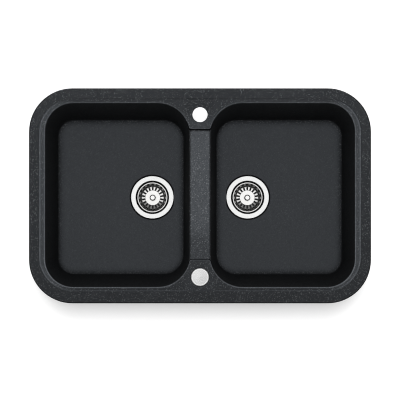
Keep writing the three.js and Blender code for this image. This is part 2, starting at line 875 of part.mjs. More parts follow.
function overflowFunnel() {
  const outside = [
    [0, funnelTop],
    [funnelFlange, funnelTop],
    [funnelFlange, funnelTop - funnelPlate],
    [funnelBore + bodyWall, funnelTop - funnelPlate - 1],
    [funnelBore + bodyWall, funnelConeTop - 2],
    [socketOuter, funnelConeBottom - 4],
    [socketOuter, funnelMouth],
    [0, funnelMouth],
  ];
  const inside = [
    [0, funnelTop + 1],
    [funnelBore, funnelTop + 1],
    [funnelBore, funnelConeTop],
    [pipeBore, funnelConeBottom],
    [pipeBore, funnelSocketTop],
    [socketInner, funnelSocketTop],
    [socketInner, funnelMouth - 1],
    [0, funnelMouth - 1],
  ];
  const filled = turned(outside, pipeSteps);
  const ribs = Array.from({ length: funnelRibs }, (_, i) => {
    const rib = new THREE.BoxGeometry(funnelBore + 1, ribThickness - 0.6, funnelStraight - 2);
    rib.translate((funnelBore + 1) / 2, 0, funnelTop - funnelPlate - (funnelStraight - 2) / 2);
    rib.rotateZ(((i + 0.5) / funnelRibs) * 2 * Math.PI);
    return solidOf(rib);
  });
  const boss = cylinder(funnelBoss, funnelTop - funnelPlate - funnelBossLength, funnelTop - funnelPlate);
  const spider = join(boss, ...ribs).intersect(filled);
  const bore = cylinder(studRadius + fit, funnelMouth, funnelTop + 1);
  return cut(join(cut(filled, turned(inside, pipeSteps)), spider), bore);
}

const coverTop = deckThickness + coverRise;
const coverBottom = coverTop - coverThickness;

function overflowCover() {
  const disc = turned([
    [0, coverBottom],
    [coverRadius - 0.4, coverBottom],
    [coverRadius, coverBottom + 0.4],
    [coverRadius, coverTop - coverBevel],
    [coverRadius - coverBevel, coverTop - 0.2],
    [coverRadius - 1.6 * coverBevel, coverTop],
    [0, coverTop],
  ]);
  const foot = deckThickness - overflowRecess + fit;
  const nubs = Array.from({ length: nubCount }, (_, i) => {
    const angle = (i / nubCount) * 2 * Math.PI + Math.PI / 2;
    const at = { x: nubRing * Math.cos(angle), y: nubRing * Math.sin(angle), steps: 10 };
    return cylinder(nubRadius, foot, coverBottom + 0.5, at);
  });
  return join(disc, ...nubs);
}

const overflowStud = () =>
  cylinder(studRadius, funnelTop - funnelPlate - funnelBossLength - 2, coverBottom - fit, { steps: 16 });

function overflowElbow(sideAngle) {
  const leg = (radius, from, to, down) => {
    const geometry = new THREE.CylinderGeometry(radius, radius, to - from, pipeSteps);
    geometry.translate(0, (from + to) / 2, 0);
    geometry.rotateX(down ? Math.PI / 2 : 0);
    if (!down) geometry.rotateZ(sideAngle - Math.PI / 2);
    return solidOf(geometry);
  };
  const bend = (radius) => {
    const ball = new THREE.SphereGeometry(radius, pipeSteps, pipeSteps / 2);
    return solidOf(ball.rotateX(Math.PI / 2));
  };
  const legs = [true, false];
  const outside = join(bend(socketOuter), ...legs.map((down) => leg(socketOuter, 0, elbowReach, down)));
  const channel = join(bend(pipeBore), ...legs.map((down) => leg(pipeBore, 0, elbowReach + 1, down)));
  const sockets = legs.map((down) => leg(socketInner, elbowReach - elbowSocket, elbowReach + 1, down));
  return cut(outside, channel, ...sockets);
}

// Worktop clamp. The claw's arm points along +X; heights are from the top of its hub.

function clampClaw() {
  const profile = [
    [-clawHub, -clawThickness],
    [clawReach - 3, -clawThickness],
    [clawReach, -clawThickness + 3],
    [clawReach, clawTooth],
    [clawReach - 4, clawTooth],
    [clawReach - 6.5, clawArm - clawThickness],
    [clawHub + 3, clawArm - clawThickness],
    [clawHub, 0],
    [-clawHub, 0],
  ];
  const half = clawHub - 1;
  const shape = new THREE.Shape(profile.map(([x, z]) => new THREE.Vector2(x, z)));
  const geometry = new THREE.ExtrudeGeometry(shape, { depth: 2 * half, bevelEnabled: false });
  geometry.rotateX(Math.PI / 2);
  geometry.translate(0, half, 0);
  return cut(solidOf(geometry), cylinder(clampScrew + fit, -clawThickness - 1, 1));
}

const clampBolt = () => {
  const headTop = -clawThickness - fit;
  return turned(
    [
      [0, headTop - clampHeadHeight],
      [clampHead - 1, headTop - clampHeadHeight],
      [clampHead, headTop - clampHeadHeight + 1],
      [clampHead, headTop],
      [clampScrew, headTop],
      [clampScrew, clampDrop + clampEngaged],
      [0, clampDrop + clampEngaged],
    ],
    smallSteps,
  );
};

// The assembly

const sink = new THREE.Group();

const flipped = (solid) => solidOf(geometryOf(solid).rotateX(Math.PI));

function add(parent, name, solid, finish, position = [0, 0, 0], turn = 0) {
  const mesh = new THREE.Mesh(geometryOf(solid), finish);
  mesh.name = name;
  mesh.position.set(...position);
  mesh.rotation.z = turn;
  parent.add(mesh);
  return mesh;
}

add(sink, 'sink_body', sinkBody(), finishes.granite);
add(sink, 'rim_sealing_strip', sealingStrip(), finishes.foam);

for (const [prefix, side] of [['left', -1], ['right', 1]]) {
  const waste = new THREE.Group();
  waste.position.set(side * drain.x, drain.y, drain.z);
  const portAngle = Math.atan2(overflowY - drain.y, -side * drain.x);
  add(waste, `${prefix}_strainer_cup`, strainerCup(), finishes.steel);
  add(waste, `${prefix}_flange_gasket`, flangeSeal(), finishes.rubber);
  add(waste, `${prefix}_waste_body`, wasteBody(portAngle), finishes.plastic);
  add(waste, `${prefix}_waste_neck`, wasteNeck(), finishes.plastic);
  add(waste, `${prefix}_body_gasket`, bodySeal(), finishes.rubber);
  add(waste, `${prefix}_waste_screw`, wasteScrew(), finishes.steel);
  add(waste, `${prefix}_screw_insert`, screwInsert(), finishes.brass);
  add(waste, `${prefix}_basket`, basketSolid(), finishes.steel);
  add(waste, `${prefix}_basket_seal`, basketSeal(), finishes.rubber);
  add(waste, `${prefix}_basket_stem`, basketStem(), finishes.steel);
  add(waste, `${prefix}_stem_clip`, stemClip(), finishes.steel);
  add(waste, `${prefix}_basket_knob`, basketKnob(), finishes.steel);

  const port = new THREE.Group();
  port.position.set(portReach * Math.cos(portAngle), portReach * Math.sin(portAngle), portAxis);
  port.rotation.set(0, Math.PI / 2, portAngle, 'ZYX');
  if (side < 0) {
    add(port, 'port_nut', pipeNut(), finishes.plastic);
    add(port, 'port_seal', pipeSealRing(), finishes.rubber);
    const run = Math.hypot(drain.x, overflowY - drain.y) - portReach - elbowReach;
    const ends = socketDepth + elbowSocket - 2 * fit;
    add(port, 'cross_pipe', pipe(run + ends), finishes.plastic, [0, 0, -socketDepth + fit]);
    add(port, 'elbow_side_nut', flipped(pipeNut()), finishes.plastic, [0, 0, run]);
    add(port, 'elbow_side_seal', flipped(pipeSealRing()), finishes.rubber, [0, 0, run]);
  } else {
    add(port, 'port_cap', portCap(), finishes.plastic);
    add(port, 'port_cap_seal', capSeal(), finishes.rubber);
  }
  waste.add(port);
  sink.add(waste);
}

const overflow = new THREE.Group();
overflow.position.set(0, overflowY, deckBottom);
add(overflow, 'overflow_cover', overflowCover(), finishes.steel);
add(overflow, 'overflow_stud', overflowStud(), finishes.steel);
add(
  overflow,
  'overflow_gasket',
  ringSolid(overflowHole + 1, funnelFlange - 0.5, funnelTop + fit, -fit),
  finishes.rubber,
);
add(overflow, 'overflow_funnel', overflowFunnel(), finishes.plastic);
add(overflow, 'funnel_nut', flipped(pipeNut()), finishes.plastic, [0, 0, funnelMouth]);
add(overflow, 'funnel_seal', flipped(pipeSealRing()), finishes.rubber, [0, 0, funnelMouth]);
const elbowZ = drain.z + portAxis - deckBottom;
const downLow = elbowZ + elbowReach - elbowSocket + fit;
const downHigh = funnelMouth + socketDepth - fit;
add(overflow, 'down_pipe', pipe(downHigh - downLow), finishes.plastic, [0, 0, downLow]);
add(overflow, 'elbow_top_nut', pipeNut(), finishes.plastic, [0, 0, elbowZ + elbowReach]);
add(overflow, 'elbow_top_seal', pipeSealRing(), finishes.rubber, [0, 0, elbowZ + elbowReach]);
const elbowTurn = Math.atan2(drain.y - overflowY, -drain.x);
add(overflow, 'overflow_elbow', overflowElbow(elbowTurn), finishes.plastic, [0, 0, elbowZ]);
sink.add(overflow);

for (const { name, x, y, out } of clampSpots) {
  const clamp = new THREE.Group();
  clamp.position.set(x, y, deckBottom - clampBossLength - clampDrop);
  clamp.rotation.z = THREE.MathUtils.degToRad(out - 90);
  add(clamp, `${name}_clamp_claw`, clampClaw(), finishes.zinc);
  add(clamp, `${name}_clamp_screw`, clampBolt(), finishes.zinc);
  sink.add(clamp);
}

export default sink;
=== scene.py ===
import bpy
import bmesh
import math
from mathutils import Matrix, Vector


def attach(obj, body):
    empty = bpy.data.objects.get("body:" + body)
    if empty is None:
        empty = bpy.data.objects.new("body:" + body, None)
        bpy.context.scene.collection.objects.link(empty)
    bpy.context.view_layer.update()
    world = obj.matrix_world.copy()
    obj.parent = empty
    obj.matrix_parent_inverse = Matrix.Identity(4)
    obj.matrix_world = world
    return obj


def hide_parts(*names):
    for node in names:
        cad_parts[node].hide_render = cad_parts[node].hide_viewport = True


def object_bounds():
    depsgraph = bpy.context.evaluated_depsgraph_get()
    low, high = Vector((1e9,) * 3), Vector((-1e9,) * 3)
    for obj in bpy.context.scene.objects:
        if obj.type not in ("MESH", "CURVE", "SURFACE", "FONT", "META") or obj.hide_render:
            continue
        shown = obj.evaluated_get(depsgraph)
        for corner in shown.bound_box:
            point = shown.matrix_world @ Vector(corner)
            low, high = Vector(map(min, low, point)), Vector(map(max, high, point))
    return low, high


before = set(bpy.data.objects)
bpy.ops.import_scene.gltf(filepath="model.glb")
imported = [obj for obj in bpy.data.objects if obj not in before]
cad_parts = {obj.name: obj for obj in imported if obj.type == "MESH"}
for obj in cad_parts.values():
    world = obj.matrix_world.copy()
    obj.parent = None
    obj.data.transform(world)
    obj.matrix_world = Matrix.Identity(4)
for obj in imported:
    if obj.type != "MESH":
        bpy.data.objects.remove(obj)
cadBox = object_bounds()
mm = 0.001
quarter = math.pi / 2
print("sink: frame loaded,", len(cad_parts), "nodes")


# Node helpers. An input is given as a value or as the socket that feeds it.

def feed(tree, socket, given):
    if isinstance(given, bpy.types.NodeSocket):
        tree.links.new(given, socket)
    else:
        socket.default_value = given


def addNode(tree, kind, inputs=None, **settings):
    node = tree.nodes.new(kind)
    for name, value in settings.items():
        setattr(node, name, value)
    for label, given in (inputs or {}).items():
        feed(tree, node.inputs[label], given)
    return node


def mathNode(tree, operation, *values):
    return addNode(tree, "ShaderNodeMath", dict(enumerate(values)), operation=operation).outputs[0]


def vectorNode(tree, operation, *values):
    node = addNode(tree, "ShaderNodeVectorMath", dict(enumerate(values)), operation=operation)
    return node.outputs["Value" if operation in ("LENGTH", "DISTANCE", "DOT_PRODUCT") else "Vector"]


def scaledVector(tree, vector, scale):
    return addNode(tree, "ShaderNodeVectorMath", {0: vector, "Scale": scale}, operation="SCALE").outputs[0]


def rangeNode(tree, value, low, high, toLow=0.0, toHigh=1.0, smooth=True):
    inputs = {"Value": value, "From Min": low, "From Max": high, "To Min": toLow, "To Max": toHigh}
    return addNode(tree, "ShaderNodeMapRange", inputs,
                   interpolation_type="SMOOTHSTEP" if smooth else "LINEAR").outputs["Result"]


def product(tree, first, *others):
    for other in others:
        first = mathNode(tree, "MULTIPLY", first, other)
    return first


def axesOf(tree, vector):  # its X, Y and Z
    return addNode(tree, "ShaderNodeSeparateXYZ", {0: vector}).outputs


def makeObject(name, data):
    piece = bpy.data.objects.new(name, data)
    bpy.context.scene.collection.objects.link(piece)
    return piece


# Camera, lamps and floor

view = {
    "height": 3.909,  # straight above the sink
    "toFront": 0.113,
    "lens": 151.14,
    "sensor": 36,
    "shiftY": 0.1111,
}
lamps = {
    "key": {"at": (0, 0.79, 10.0), "size": (1.3, 2.0), "power": 720},
    "fill": 0.30,  # light from the whole sky
    "softbox": (0.0, 0.10, 0.26, 0.24),  # what steel mirrors: centre and half size, X then Y
    "softboxPower": 1.18,
    "softboxFrom": (0.2, 0.3),  # heights in the sky
    "softboxEdge": 0.12,
    "flags": 0.07,  # dark boards round the softbox
    "room": 0.42,
    "roomTo": (0.70, 0.82),
}
stage = {
    "floorSize": 9,
    "floorGap": 0.0002,  # under the lowest point of the sink
    "floorTone": 0.8,
    "floorLift": 0.36,
    "holeLightPool": (0.0, 0.212, 0.021, 0.036),  # a painted pool of light on the floor, seen through the tap hole: centre, inner and outer radius
    "holeGlow": 0.79,
    "fade": (0.9, 2.2, 0.8),  # from, to and strength: the far floor runs into the white
    "pixelFilter": 1.1,
}


def makeCamera():
    data = bpy.data.cameras.new("camera")
    data.lens = view["lens"]
    data.sensor_width = view["sensor"]
    data.shift_y = view["shiftY"]
    camera = makeObject("camera", data)
    camera.location = (0, -view["toFront"], view["height"])
    bpy.context.scene.camera = camera


def makeKeyLamp():
    data = bpy.data.lights.new("keyLamp", "AREA")
    data.shape = "RECTANGLE"
    data.size, data.size_y = lamps["key"]["size"]
    data.energy = lamps["key"]["power"]
    lamp = makeObject("keyLamp", data)
    lamp.location = lamps["key"]["at"]
    lamp.rotation_euler = (-Vector(lamp.location)).to_track_quat("-Z", "Y").to_euler()
    lamp.visible_glossy = False


def makeSky():  # soft light for the sink, a softbox for what mirrors, and white for the camera
    world = bpy.data.worlds.new("sky")
    world.use_nodes = True
    world.cycles.sampling_method = "NONE"
    tree = world.node_tree
    tree.nodes.clear()
    x, y, z = axesOf(tree, addNode(tree, "ShaderNodeTexCoord").outputs["Generated"])
    middleX, middleY, halfX, halfY = lamps["softbox"]
    above = rangeNode(tree, z, *lamps["softboxFrom"], 0, lamps["softboxPower"])
    for value, middle, half in ((x, middleX, halfX), (y, middleY, halfY)):
        away = mathNode(tree, "ABSOLUTE", mathNode(tree, "SUBTRACT", value, middle))
        above = product(tree, above, rangeNode(tree, away, half, half + lamps["softboxEdge"], 1, 0))
    around = rangeNode(tree, z, *lamps["roomTo"], lamps["room"], lamps["flags"])
    mirrored = mathNode(tree, "MAXIMUM", above, around)
    soft, mirror, white = (addNode(tree, "ShaderNodeBackground", {"Color": (1, 1, 1, 1), "Strength": strength})
                           for strength in (lamps["fill"], mirrored, 1.0))
    path = addNode(tree, "ShaderNodeLightPath")
    light = soft
    for ray, other in (("Is Glossy Ray", mirror), ("Is Camera Ray", white)):
        light = addNode(tree, "ShaderNodeMixShader", {0: path.outputs[ray], 1: light.outputs[0], 2: other.outputs[0]})
    addNode(tree, "ShaderNodeOutputWorld", {"Surface": light.outputs[0]})
    bpy.context.scene.world = world


def makeFloor():
    level = cadBox[0][2] - stage["floorGap"]
    half = stage["floorSize"] / 2
    mesh = bpy.data.meshes.new("studioFloor")
    corners = [(-half, -half, level), (half, -half, level), (half, half, level), (-half, half, level)]
    mesh.from_pydata(corners, [], [(0, 1, 2, 3)])
    floor = makeObject("studioFloor", mesh)
    material = bpy.data.materials.new("studioFloor")
    material.use_nodes = True
    tree = material.node_tree
    tree.nodes.clear()
    tone = stage["floorTone"]
    paint = addNode(tree, "ShaderNodeBsdfDiffuse", {"Color": (tone, tone, tone, 1)})
    path = addNode(tree, "ShaderNodeLightPath")
    seen = mathNode(tree, "MAXIMUM", path.outputs["Is Camera Ray"], path.outputs["Is Glossy Ray"])
    # a painted pool of light glows on the floor under the tap hole for camera and mirror rays; no lamp makes it
    spotX, spotY, spotInner, spotOuter = stage["holeLightPool"]
    fromSpot = vectorNode(tree, "DISTANCE", addNode(tree, "ShaderNodeTexCoord").outputs["Object"],
                          (spotX, spotY, level))
    spot = rangeNode(tree, fromSpot, spotInner, spotOuter, stage["holeGlow"], stage["floorLift"])
    fadeFrom, fadeTo, fadeGlow = stage["fade"]
    lift = mathNode(tree, "MAXIMUM", spot, rangeNode(tree, fromSpot, fadeFrom, fadeTo, 0.0, fadeGlow))
    glow = addNode(tree, "ShaderNodeEmission", {"Strength": product(tree, seen, lift)})
    both = addNode(tree, "ShaderNodeAddShader", {0: paint.outputs[0], 1: glow.outputs[0]})
    clear = addNode(tree, "ShaderNodeBsdfTransparent")  # from below
    side = addNode(tree, "ShaderNodeNewGeometry").outputs["Backfacing"]
    sided = addNode(tree, "ShaderNodeMixShader", {0: side, 1: both.outputs[0], 2: clear.outputs[0]})
    addNode(tree, "ShaderNodeOutputMaterial", {"Surface": sided.outputs[0]})
    mesh.materials.append(material)


makeCamera()
makeKeyLamp()
makeSky()
makeFloor()
bpy.context.scene.view_settings.view_transform = "Standard"
bpy.context.scene.cycles.filter_width = stage["pixelFilter"]
print("sink: camera, lamp, sky and floor")


# Shader groups

def newGroup(name, inputs):  # an input without a default is a vector
    group = bpy.data.node_groups.new(name, "ShaderNodeTree")
    for label, value in inputs.items():
        kind = "NodeSocketVector" if value is None else "NodeSocketFloat"
        socket = group.interface.new_socket(name=label, in_out="INPUT", socket_type=kind)
        if value is not None:
            socket.default_value = value
    return group, group.nodes.new("NodeGroupInput").outputs


def closeGroup(group, results):
    for label in results:
        group.interface.new_socket(name=label, in_out="OUTPUT", socket_type="NodeSocketFloat")
    addNode(group, "NodeGroupOutput", results)
    return group


def mixColours(tree, share, first, second):
    colours = [(*given, 1) if isinstance(given, tuple) else given for given in (first, second)]
    return addNode(tree, "ShaderNodeMix", {0: share, 6: colours[0], 7: colours[1]}, data_type="RGBA").outputs[2]


def noiseNode(tree, vector, scale, detail, roughness=0.5):
    inputs = {"Vector": vector, "Scale": scale, "Detail": detail, "Roughness": roughness}
    return addNode(tree, "ShaderNodeTexNoise", inputs).outputs["Fac"]


def makeBandGroup():  # 1 where a value is within a half width of a level
    group, given = newGroup("band", {"Value": 0.0, "Level": 0.0, "Half width": 0.001, "Softness": 0.001})
    away = mathNode(group, "ABSOLUTE", mathNode(group, "SUBTRACT", given["Value"], given["Level"]))
    edge = mathNode(group, "ADD", given["Half width"], given["Softness"])
    return closeGroup(group, {"Mask": rangeNode(group, away, given["Half width"], edge, 1.0, 0.0)})


grains = {
    "fineness": 2.3,  # fine grains to a coarse one
    "cloud": (22.0, 4.0, 0.6),  # scale, detail and roughness
    "tones": (0.55, 0.25, 0.2),  # shares of coarse grains, fine grains and clouds
    "heights": (0.8, 0.6),
    "fleckEdge": (0.25, 0.6, 1.0, 0.35),
}


def makeGrainGroup():  # cast quartz grains of two sizes, and the clouding between castings
    group, given = newGroup("quartzGrain", {"Vector": None, "Grain size": 0.0013, "Fleck share": 0.12})
    scale = mathNode(group, "DIVIDE", 1.0, given["Grain size"])
    coarse, fine = (addNode(group, "ShaderNodeTexVoronoi", {"Vector": given["Vector"], "Scale": size}).outputs
                    for size in (scale, product(group, scale, grains["fineness"])))
    coarseDraws, fineDraws = (addNode(group, "ShaderNodeSeparateColor", {0: cells["Color"]}).outputs
                              for cells in (coarse, fine))
    cloud = noiseNode(group, given["Vector"], *grains["cloud"])
    coarseShare, fineShare, cloudShare = grains["tones"]
    blend = mathNode(group, "MULTIPLY_ADD", coarseDraws[0], coarseShare, product(group, fineDraws[0], fineShare))
    limit = mathNode(group, "SUBTRACT", 1.0, given["Fleck share"])
    fleck = mathNode(group, "GREATER_THAN", coarseDraws[1], limit)
    coarseHeight, fineHeight = grains["heights"]
    return closeGroup(group, {
        "Tone": mathNode(group, "MULTIPLY_ADD", cloud, cloudShare, blend),
        "Flecks": product(group, fleck, rangeNode(group, coarse["Distance"], *grains["fleckEdge"])),
        "Height": mathNode(group, "MULTIPLY_ADD", coarse["Distance"], coarseHeight,
                           product(group, fine["Distance"], fineHeight)),
    })


spinning = {"streaks": (1.0, 3.0, 0.6), "lengthwise": 3.0, "sheenAngle": 2.3}  # streaks: scale, detail, roughness; sheenAngle sets where the painted sheen is brightest


def makeSpunGroup():  # fine rings left by a polishing wheel round an axis, and a painted sheen that rises and falls with the angle round it
    group, given = newGroup("spunBrushing", {"Vector": None, "Rings per metre": 2600.0, "Streak length": 1.4})
    x, y, z = axesOf(group, given["Vector"])
    radius = mathNode(group, "SQRT", mathNode(group, "ADD", product(group, x, x), product(group, y, y)))
    angle = mathNode(group, "ARCTAN2", y, x)
    across = product(group, mathNode(group, "ADD", radius, z), given["Rings per metre"])
    along = mathNode(group, "DIVIDE", spinning["lengthwise"], given["Streak length"])
    place = addNode(group, "ShaderNodeCombineXYZ", {
        0: across,
        1: product(group, mathNode(group, "COSINE", angle), along),
        2: product(group, mathNode(group, "SINE", angle), along),
    })
    paintedSheen = mathNode(group, "COSINE", mathNode(group, "SUBTRACT", angle, spinning["sheenAngle"]))
    return closeGroup(group, {"Streak": noiseNode(group, place.outputs[0], *spinning["streaks"]), "Radius": radius,
                              "Fan": paintedSheen})


def makeMouldGroup():  # faint skin, flow and dust of a moulded or cast surface
    group, given = newGroup("mouldedSkin", {"Vector": None, "Skin size": 0.0006, "Cloud size": 0.03})
    return closeGroup(group, {
        label: noiseNode(group, given["Vector"], mathNode(group, "DIVIDE", 1.0, given[label + " size"]), detail)
        for label, detail in (("Skin", 2.0), ("Cloud", 4.0))
    })


paintedCupShade = {
    "turnedIn": (-0.05, -0.35),  # how far a face looks away from or towards the axis
    "turnedUp": (0.35, 0.55),
    "axisClearance": 0.001,
    "belowTop": 0.0016,
    "frontSide": (-0.004, -0.017),
    "disc": (0.0180, 0.0190),
}


def makePaintedCupShadeGroup():  # painted shade mask: 1 on the unlit inside of a round cup, below its top and outside a clear middle; its front side beyond the disc takes the front shade
    group, given = newGroup("paintedCupShade", {"Position": None, "Normal": None, "Top": 0.0, "Clear radius": 0.0,
                                          "Softness": 0.003, "Front shade": 0.0})
    at, facing = axesOf(group, given["Position"]), axesOf(group, given["Normal"])
    flat = vectorNode(group, "MULTIPLY", given["Position"], (1, 1, 0))
    radius = vectorNode(group, "LENGTH", flat)
    outwards = mathNode(group, "DIVIDE", vectorNode(group, "DOT_PRODUCT", flat, given["Normal"]),
                        mathNode(group, "MAXIMUM", radius, paintedCupShade["axisClearance"]))
    facingIn = mathNode(group, "MAXIMUM", rangeNode(group, outwards, *paintedCupShade["turnedIn"]),
                        rangeNode(group, facing[2], *paintedCupShade["turnedUp"]))
    top, clear = given["Top"], given["Clear radius"]
    below = rangeNode(group, at[2], top, mathNode(group, "SUBTRACT", top, paintedCupShade["belowTop"]))
    beyond = rangeNode(group, radius, clear, mathNode(group, "ADD", clear, given["Softness"]))
    frontSide = rangeNode(group, at[1], *paintedCupShade["frontSide"], 0.0, given["Front shade"])
    disc = rangeNode(group, radius, *paintedCupShade["disc"])
    darker = mathNode(group, "MAXIMUM", beyond, product(group, frontSide, disc))
    return closeGroup(group, {"Mask": product(group, facingIn, below, darker)})


bandGroup = makeBandGroup()
paintedCupShadeGroup = makePaintedCupShadeGroup()
grainGroup = makeGrainGroup()
spunGroup = makeSpunGroup()
mouldGroup = makeMouldGroup()


def useGroup(tree, group, **values):
    inputs = {label.replace("_", " "): given for label, given in values.items()}
    return addNode(tree, "ShaderNodeGroup", inputs, node_tree=group).outputs


def newMaterial(name, roughness, metallic=0.0, specular=0.5):
    material = bpy.data.materials.new(name)
    material.use_nodes = True
    tree = material.node_tree
    shader = tree.nodes["Principled BSDF"].inputs
    shader["Roughness"].default_value = roughness
    shader["Metallic"].default_value = metallic
    shader["Specular IOR Level"].default_value = specular
    place = addNode(tree, "ShaderNodeTexCoord").outputs
    return material, tree, shader, place["Object"], place["Normal"]


def addBump(tree, shader, height, distance, strength):
    bump = addNode(tree, "ShaderNodeBump", {"Height": height, "Distance": distance, "Strength": strength})
    feed(tree, shader["Normal"], bump.outputs["Normal"])


# Materials

graniteLook = {
    "dark": (0.0150, 0.0166, 0.0186),
    "light": (0.0345, 0.0370, 0.0403),
    "fleck": (0.140, 0.146, 0.154),
    "grain": 0.0016,
    "fleckShare": 0.11,
    "frontFlecks": 0.75,  # share of them kept at the front
    "floorFlecks": (0.8, 0.12),  # share lost on the bowl floors, and the least that is left anywhere
    "floorGrain": (0.5, 0.25),
    "ledgeSide": 1.78,  # painted light and shade: the tone of each region against the raised band
    "ledgeEnd": 1.08,
    # painted sheen on the lowered divider, less at its front end
    "divider": 2.62,
    "dividerFront": 1.70,
    "lip": (3.6, 2.2),  # painted highlight on the lips, front and rear
    "lipSide": 0.8,  # more painted highlight added at the sides
    "lipByPad": 0.6,  # share of the painted highlight left beside the front pad
    "step": (1.30, 0.9),  # painted highlight on the small step, added at the sides and at the ends
    # painted light on the bowl floors
    "floor": 1.70,
    "steep": (0.25, 0.42),  # painted shade, low and high on the bowl walls
    # painted shade on the outer shoulder, at the front and sides
    "shoulder": 0.22,
    "edge": 0.5,  # painted shade on the hole walls and at the foot of the rear pad
    # painted shade in the drain recesses
    "recess": 0.1,
    "pad": (1.22, 0.87, 1.56),  # painted light on the pads: front, rear and before the rear end
    # painted light on the top, lighter at the rear than at the front
    "rearToFront": (1.12, 0.872),
    "roughness": 0.74,
    "roughnessSpread": (0.06, -0.12, -0.12),  # everywhere, with the grain and on the lips
    "specular": 0.22,
    "relief": (0.00012, 0.55),
}
graniteZones = {  # where a tone sets in and where it is full, in metres or as the upward part of the normal; most of these tones are painted light and shade
    "flat": (0.93, 0.985),
    "top": (-0.009, -0.0075),
    "floor": (-0.168, -0.180),
    "rearToFront": (-0.24, 0.24),
    "ledgeSide": (0.29, 0.345),
    "padRear": (-0.05, 0.05),
    "padEnd": (0.205, 0.165),
    "dividerRear": (-0.115, -0.055),
    "lipLevel": (0.995, 0.93),
    "lipSteep": (0.30, 0.62),
    "lipHeight": (-0.005, -0.003),
    "lipInside": (0.003, 0.005),
    "lipRear": (-0.20, 0.19),
    "lipSide": (0.30, 0.35),
    "besidePad": (0.04, 0.10),
    "behindPad": (-0.12, -0.05),
    "stepSide": (0.30, 0.365),
    "stepFront": (0.2, -0.2),
    "steep": (0.30, 0.55),
    "steepHeight": (-0.14, -0.03),
    "steepOutwards": (0.0, 0.004),
    "steepTop": (0.0058, 0.0064),
    "underDividerTop": (-0.0046, -0.0052),
    "aboveBowl": (-0.03, -0.02),
    "shoulderOutside": (-0.0205, -0.0215),
    "shoulderSteep": (0.93, 0.75),
    "shoulderRear": (0.245, 0.225),
    "holeSteep": (0.6, 0.4),
    "holeHeight": (-0.0065, -0.0055),
    "recess": (-0.1867, -0.18612),
    "recessUnder": (-0.08, -0.04),
    "frontFlecks": (-0.05, -0.14),
}
graniteBands = {  # level, half width and softness
    "ledge": (0.0065, 0.0004, 0.0003),
    "dividerTop": (-0.0057, 0.0007, 0.0006),
    "pads": (0.0, 0.026, 0.012),
    "middle": (0.0, 0.030, 0.004),
    "padFoot": (0.153, 0.0022, 0.0008),
}
stepBand = {  # where the painted highlight on the small step round the ledge lies, as distances inwards: at the ends, and added at the sides
    "low": ((0.0012, 0.0030), (0.0004, 0.0015)),
    "high": ((-0.0022, 0.0012), (-0.0012, 0.0008)),
}
dividerSteep = (0.38, 0.37)  # added to the zone steep of painted wall shade along the divider's edges


def distanceInside(tree, position, plan):  # distance inwards from a rounded outline in plan
    corner = plan["corner"]
    flat = vectorNode(tree, "MULTIPLY", vectorNode(tree, "SUBTRACT", position, plan["middle"]), (1, 1, 0))
    beyond = vectorNode(tree, "SUBTRACT", vectorNode(tree, "ABSOLUTE", flat),
                        (plan["half"][0] - corner, plan["half"][1] - corner, 0))
    return mathNode(tree, "SUBTRACT", corner,
                    vectorNode(tree, "LENGTH", vectorNode(tree, "MAXIMUM", beyond, (0, 0, 0))))


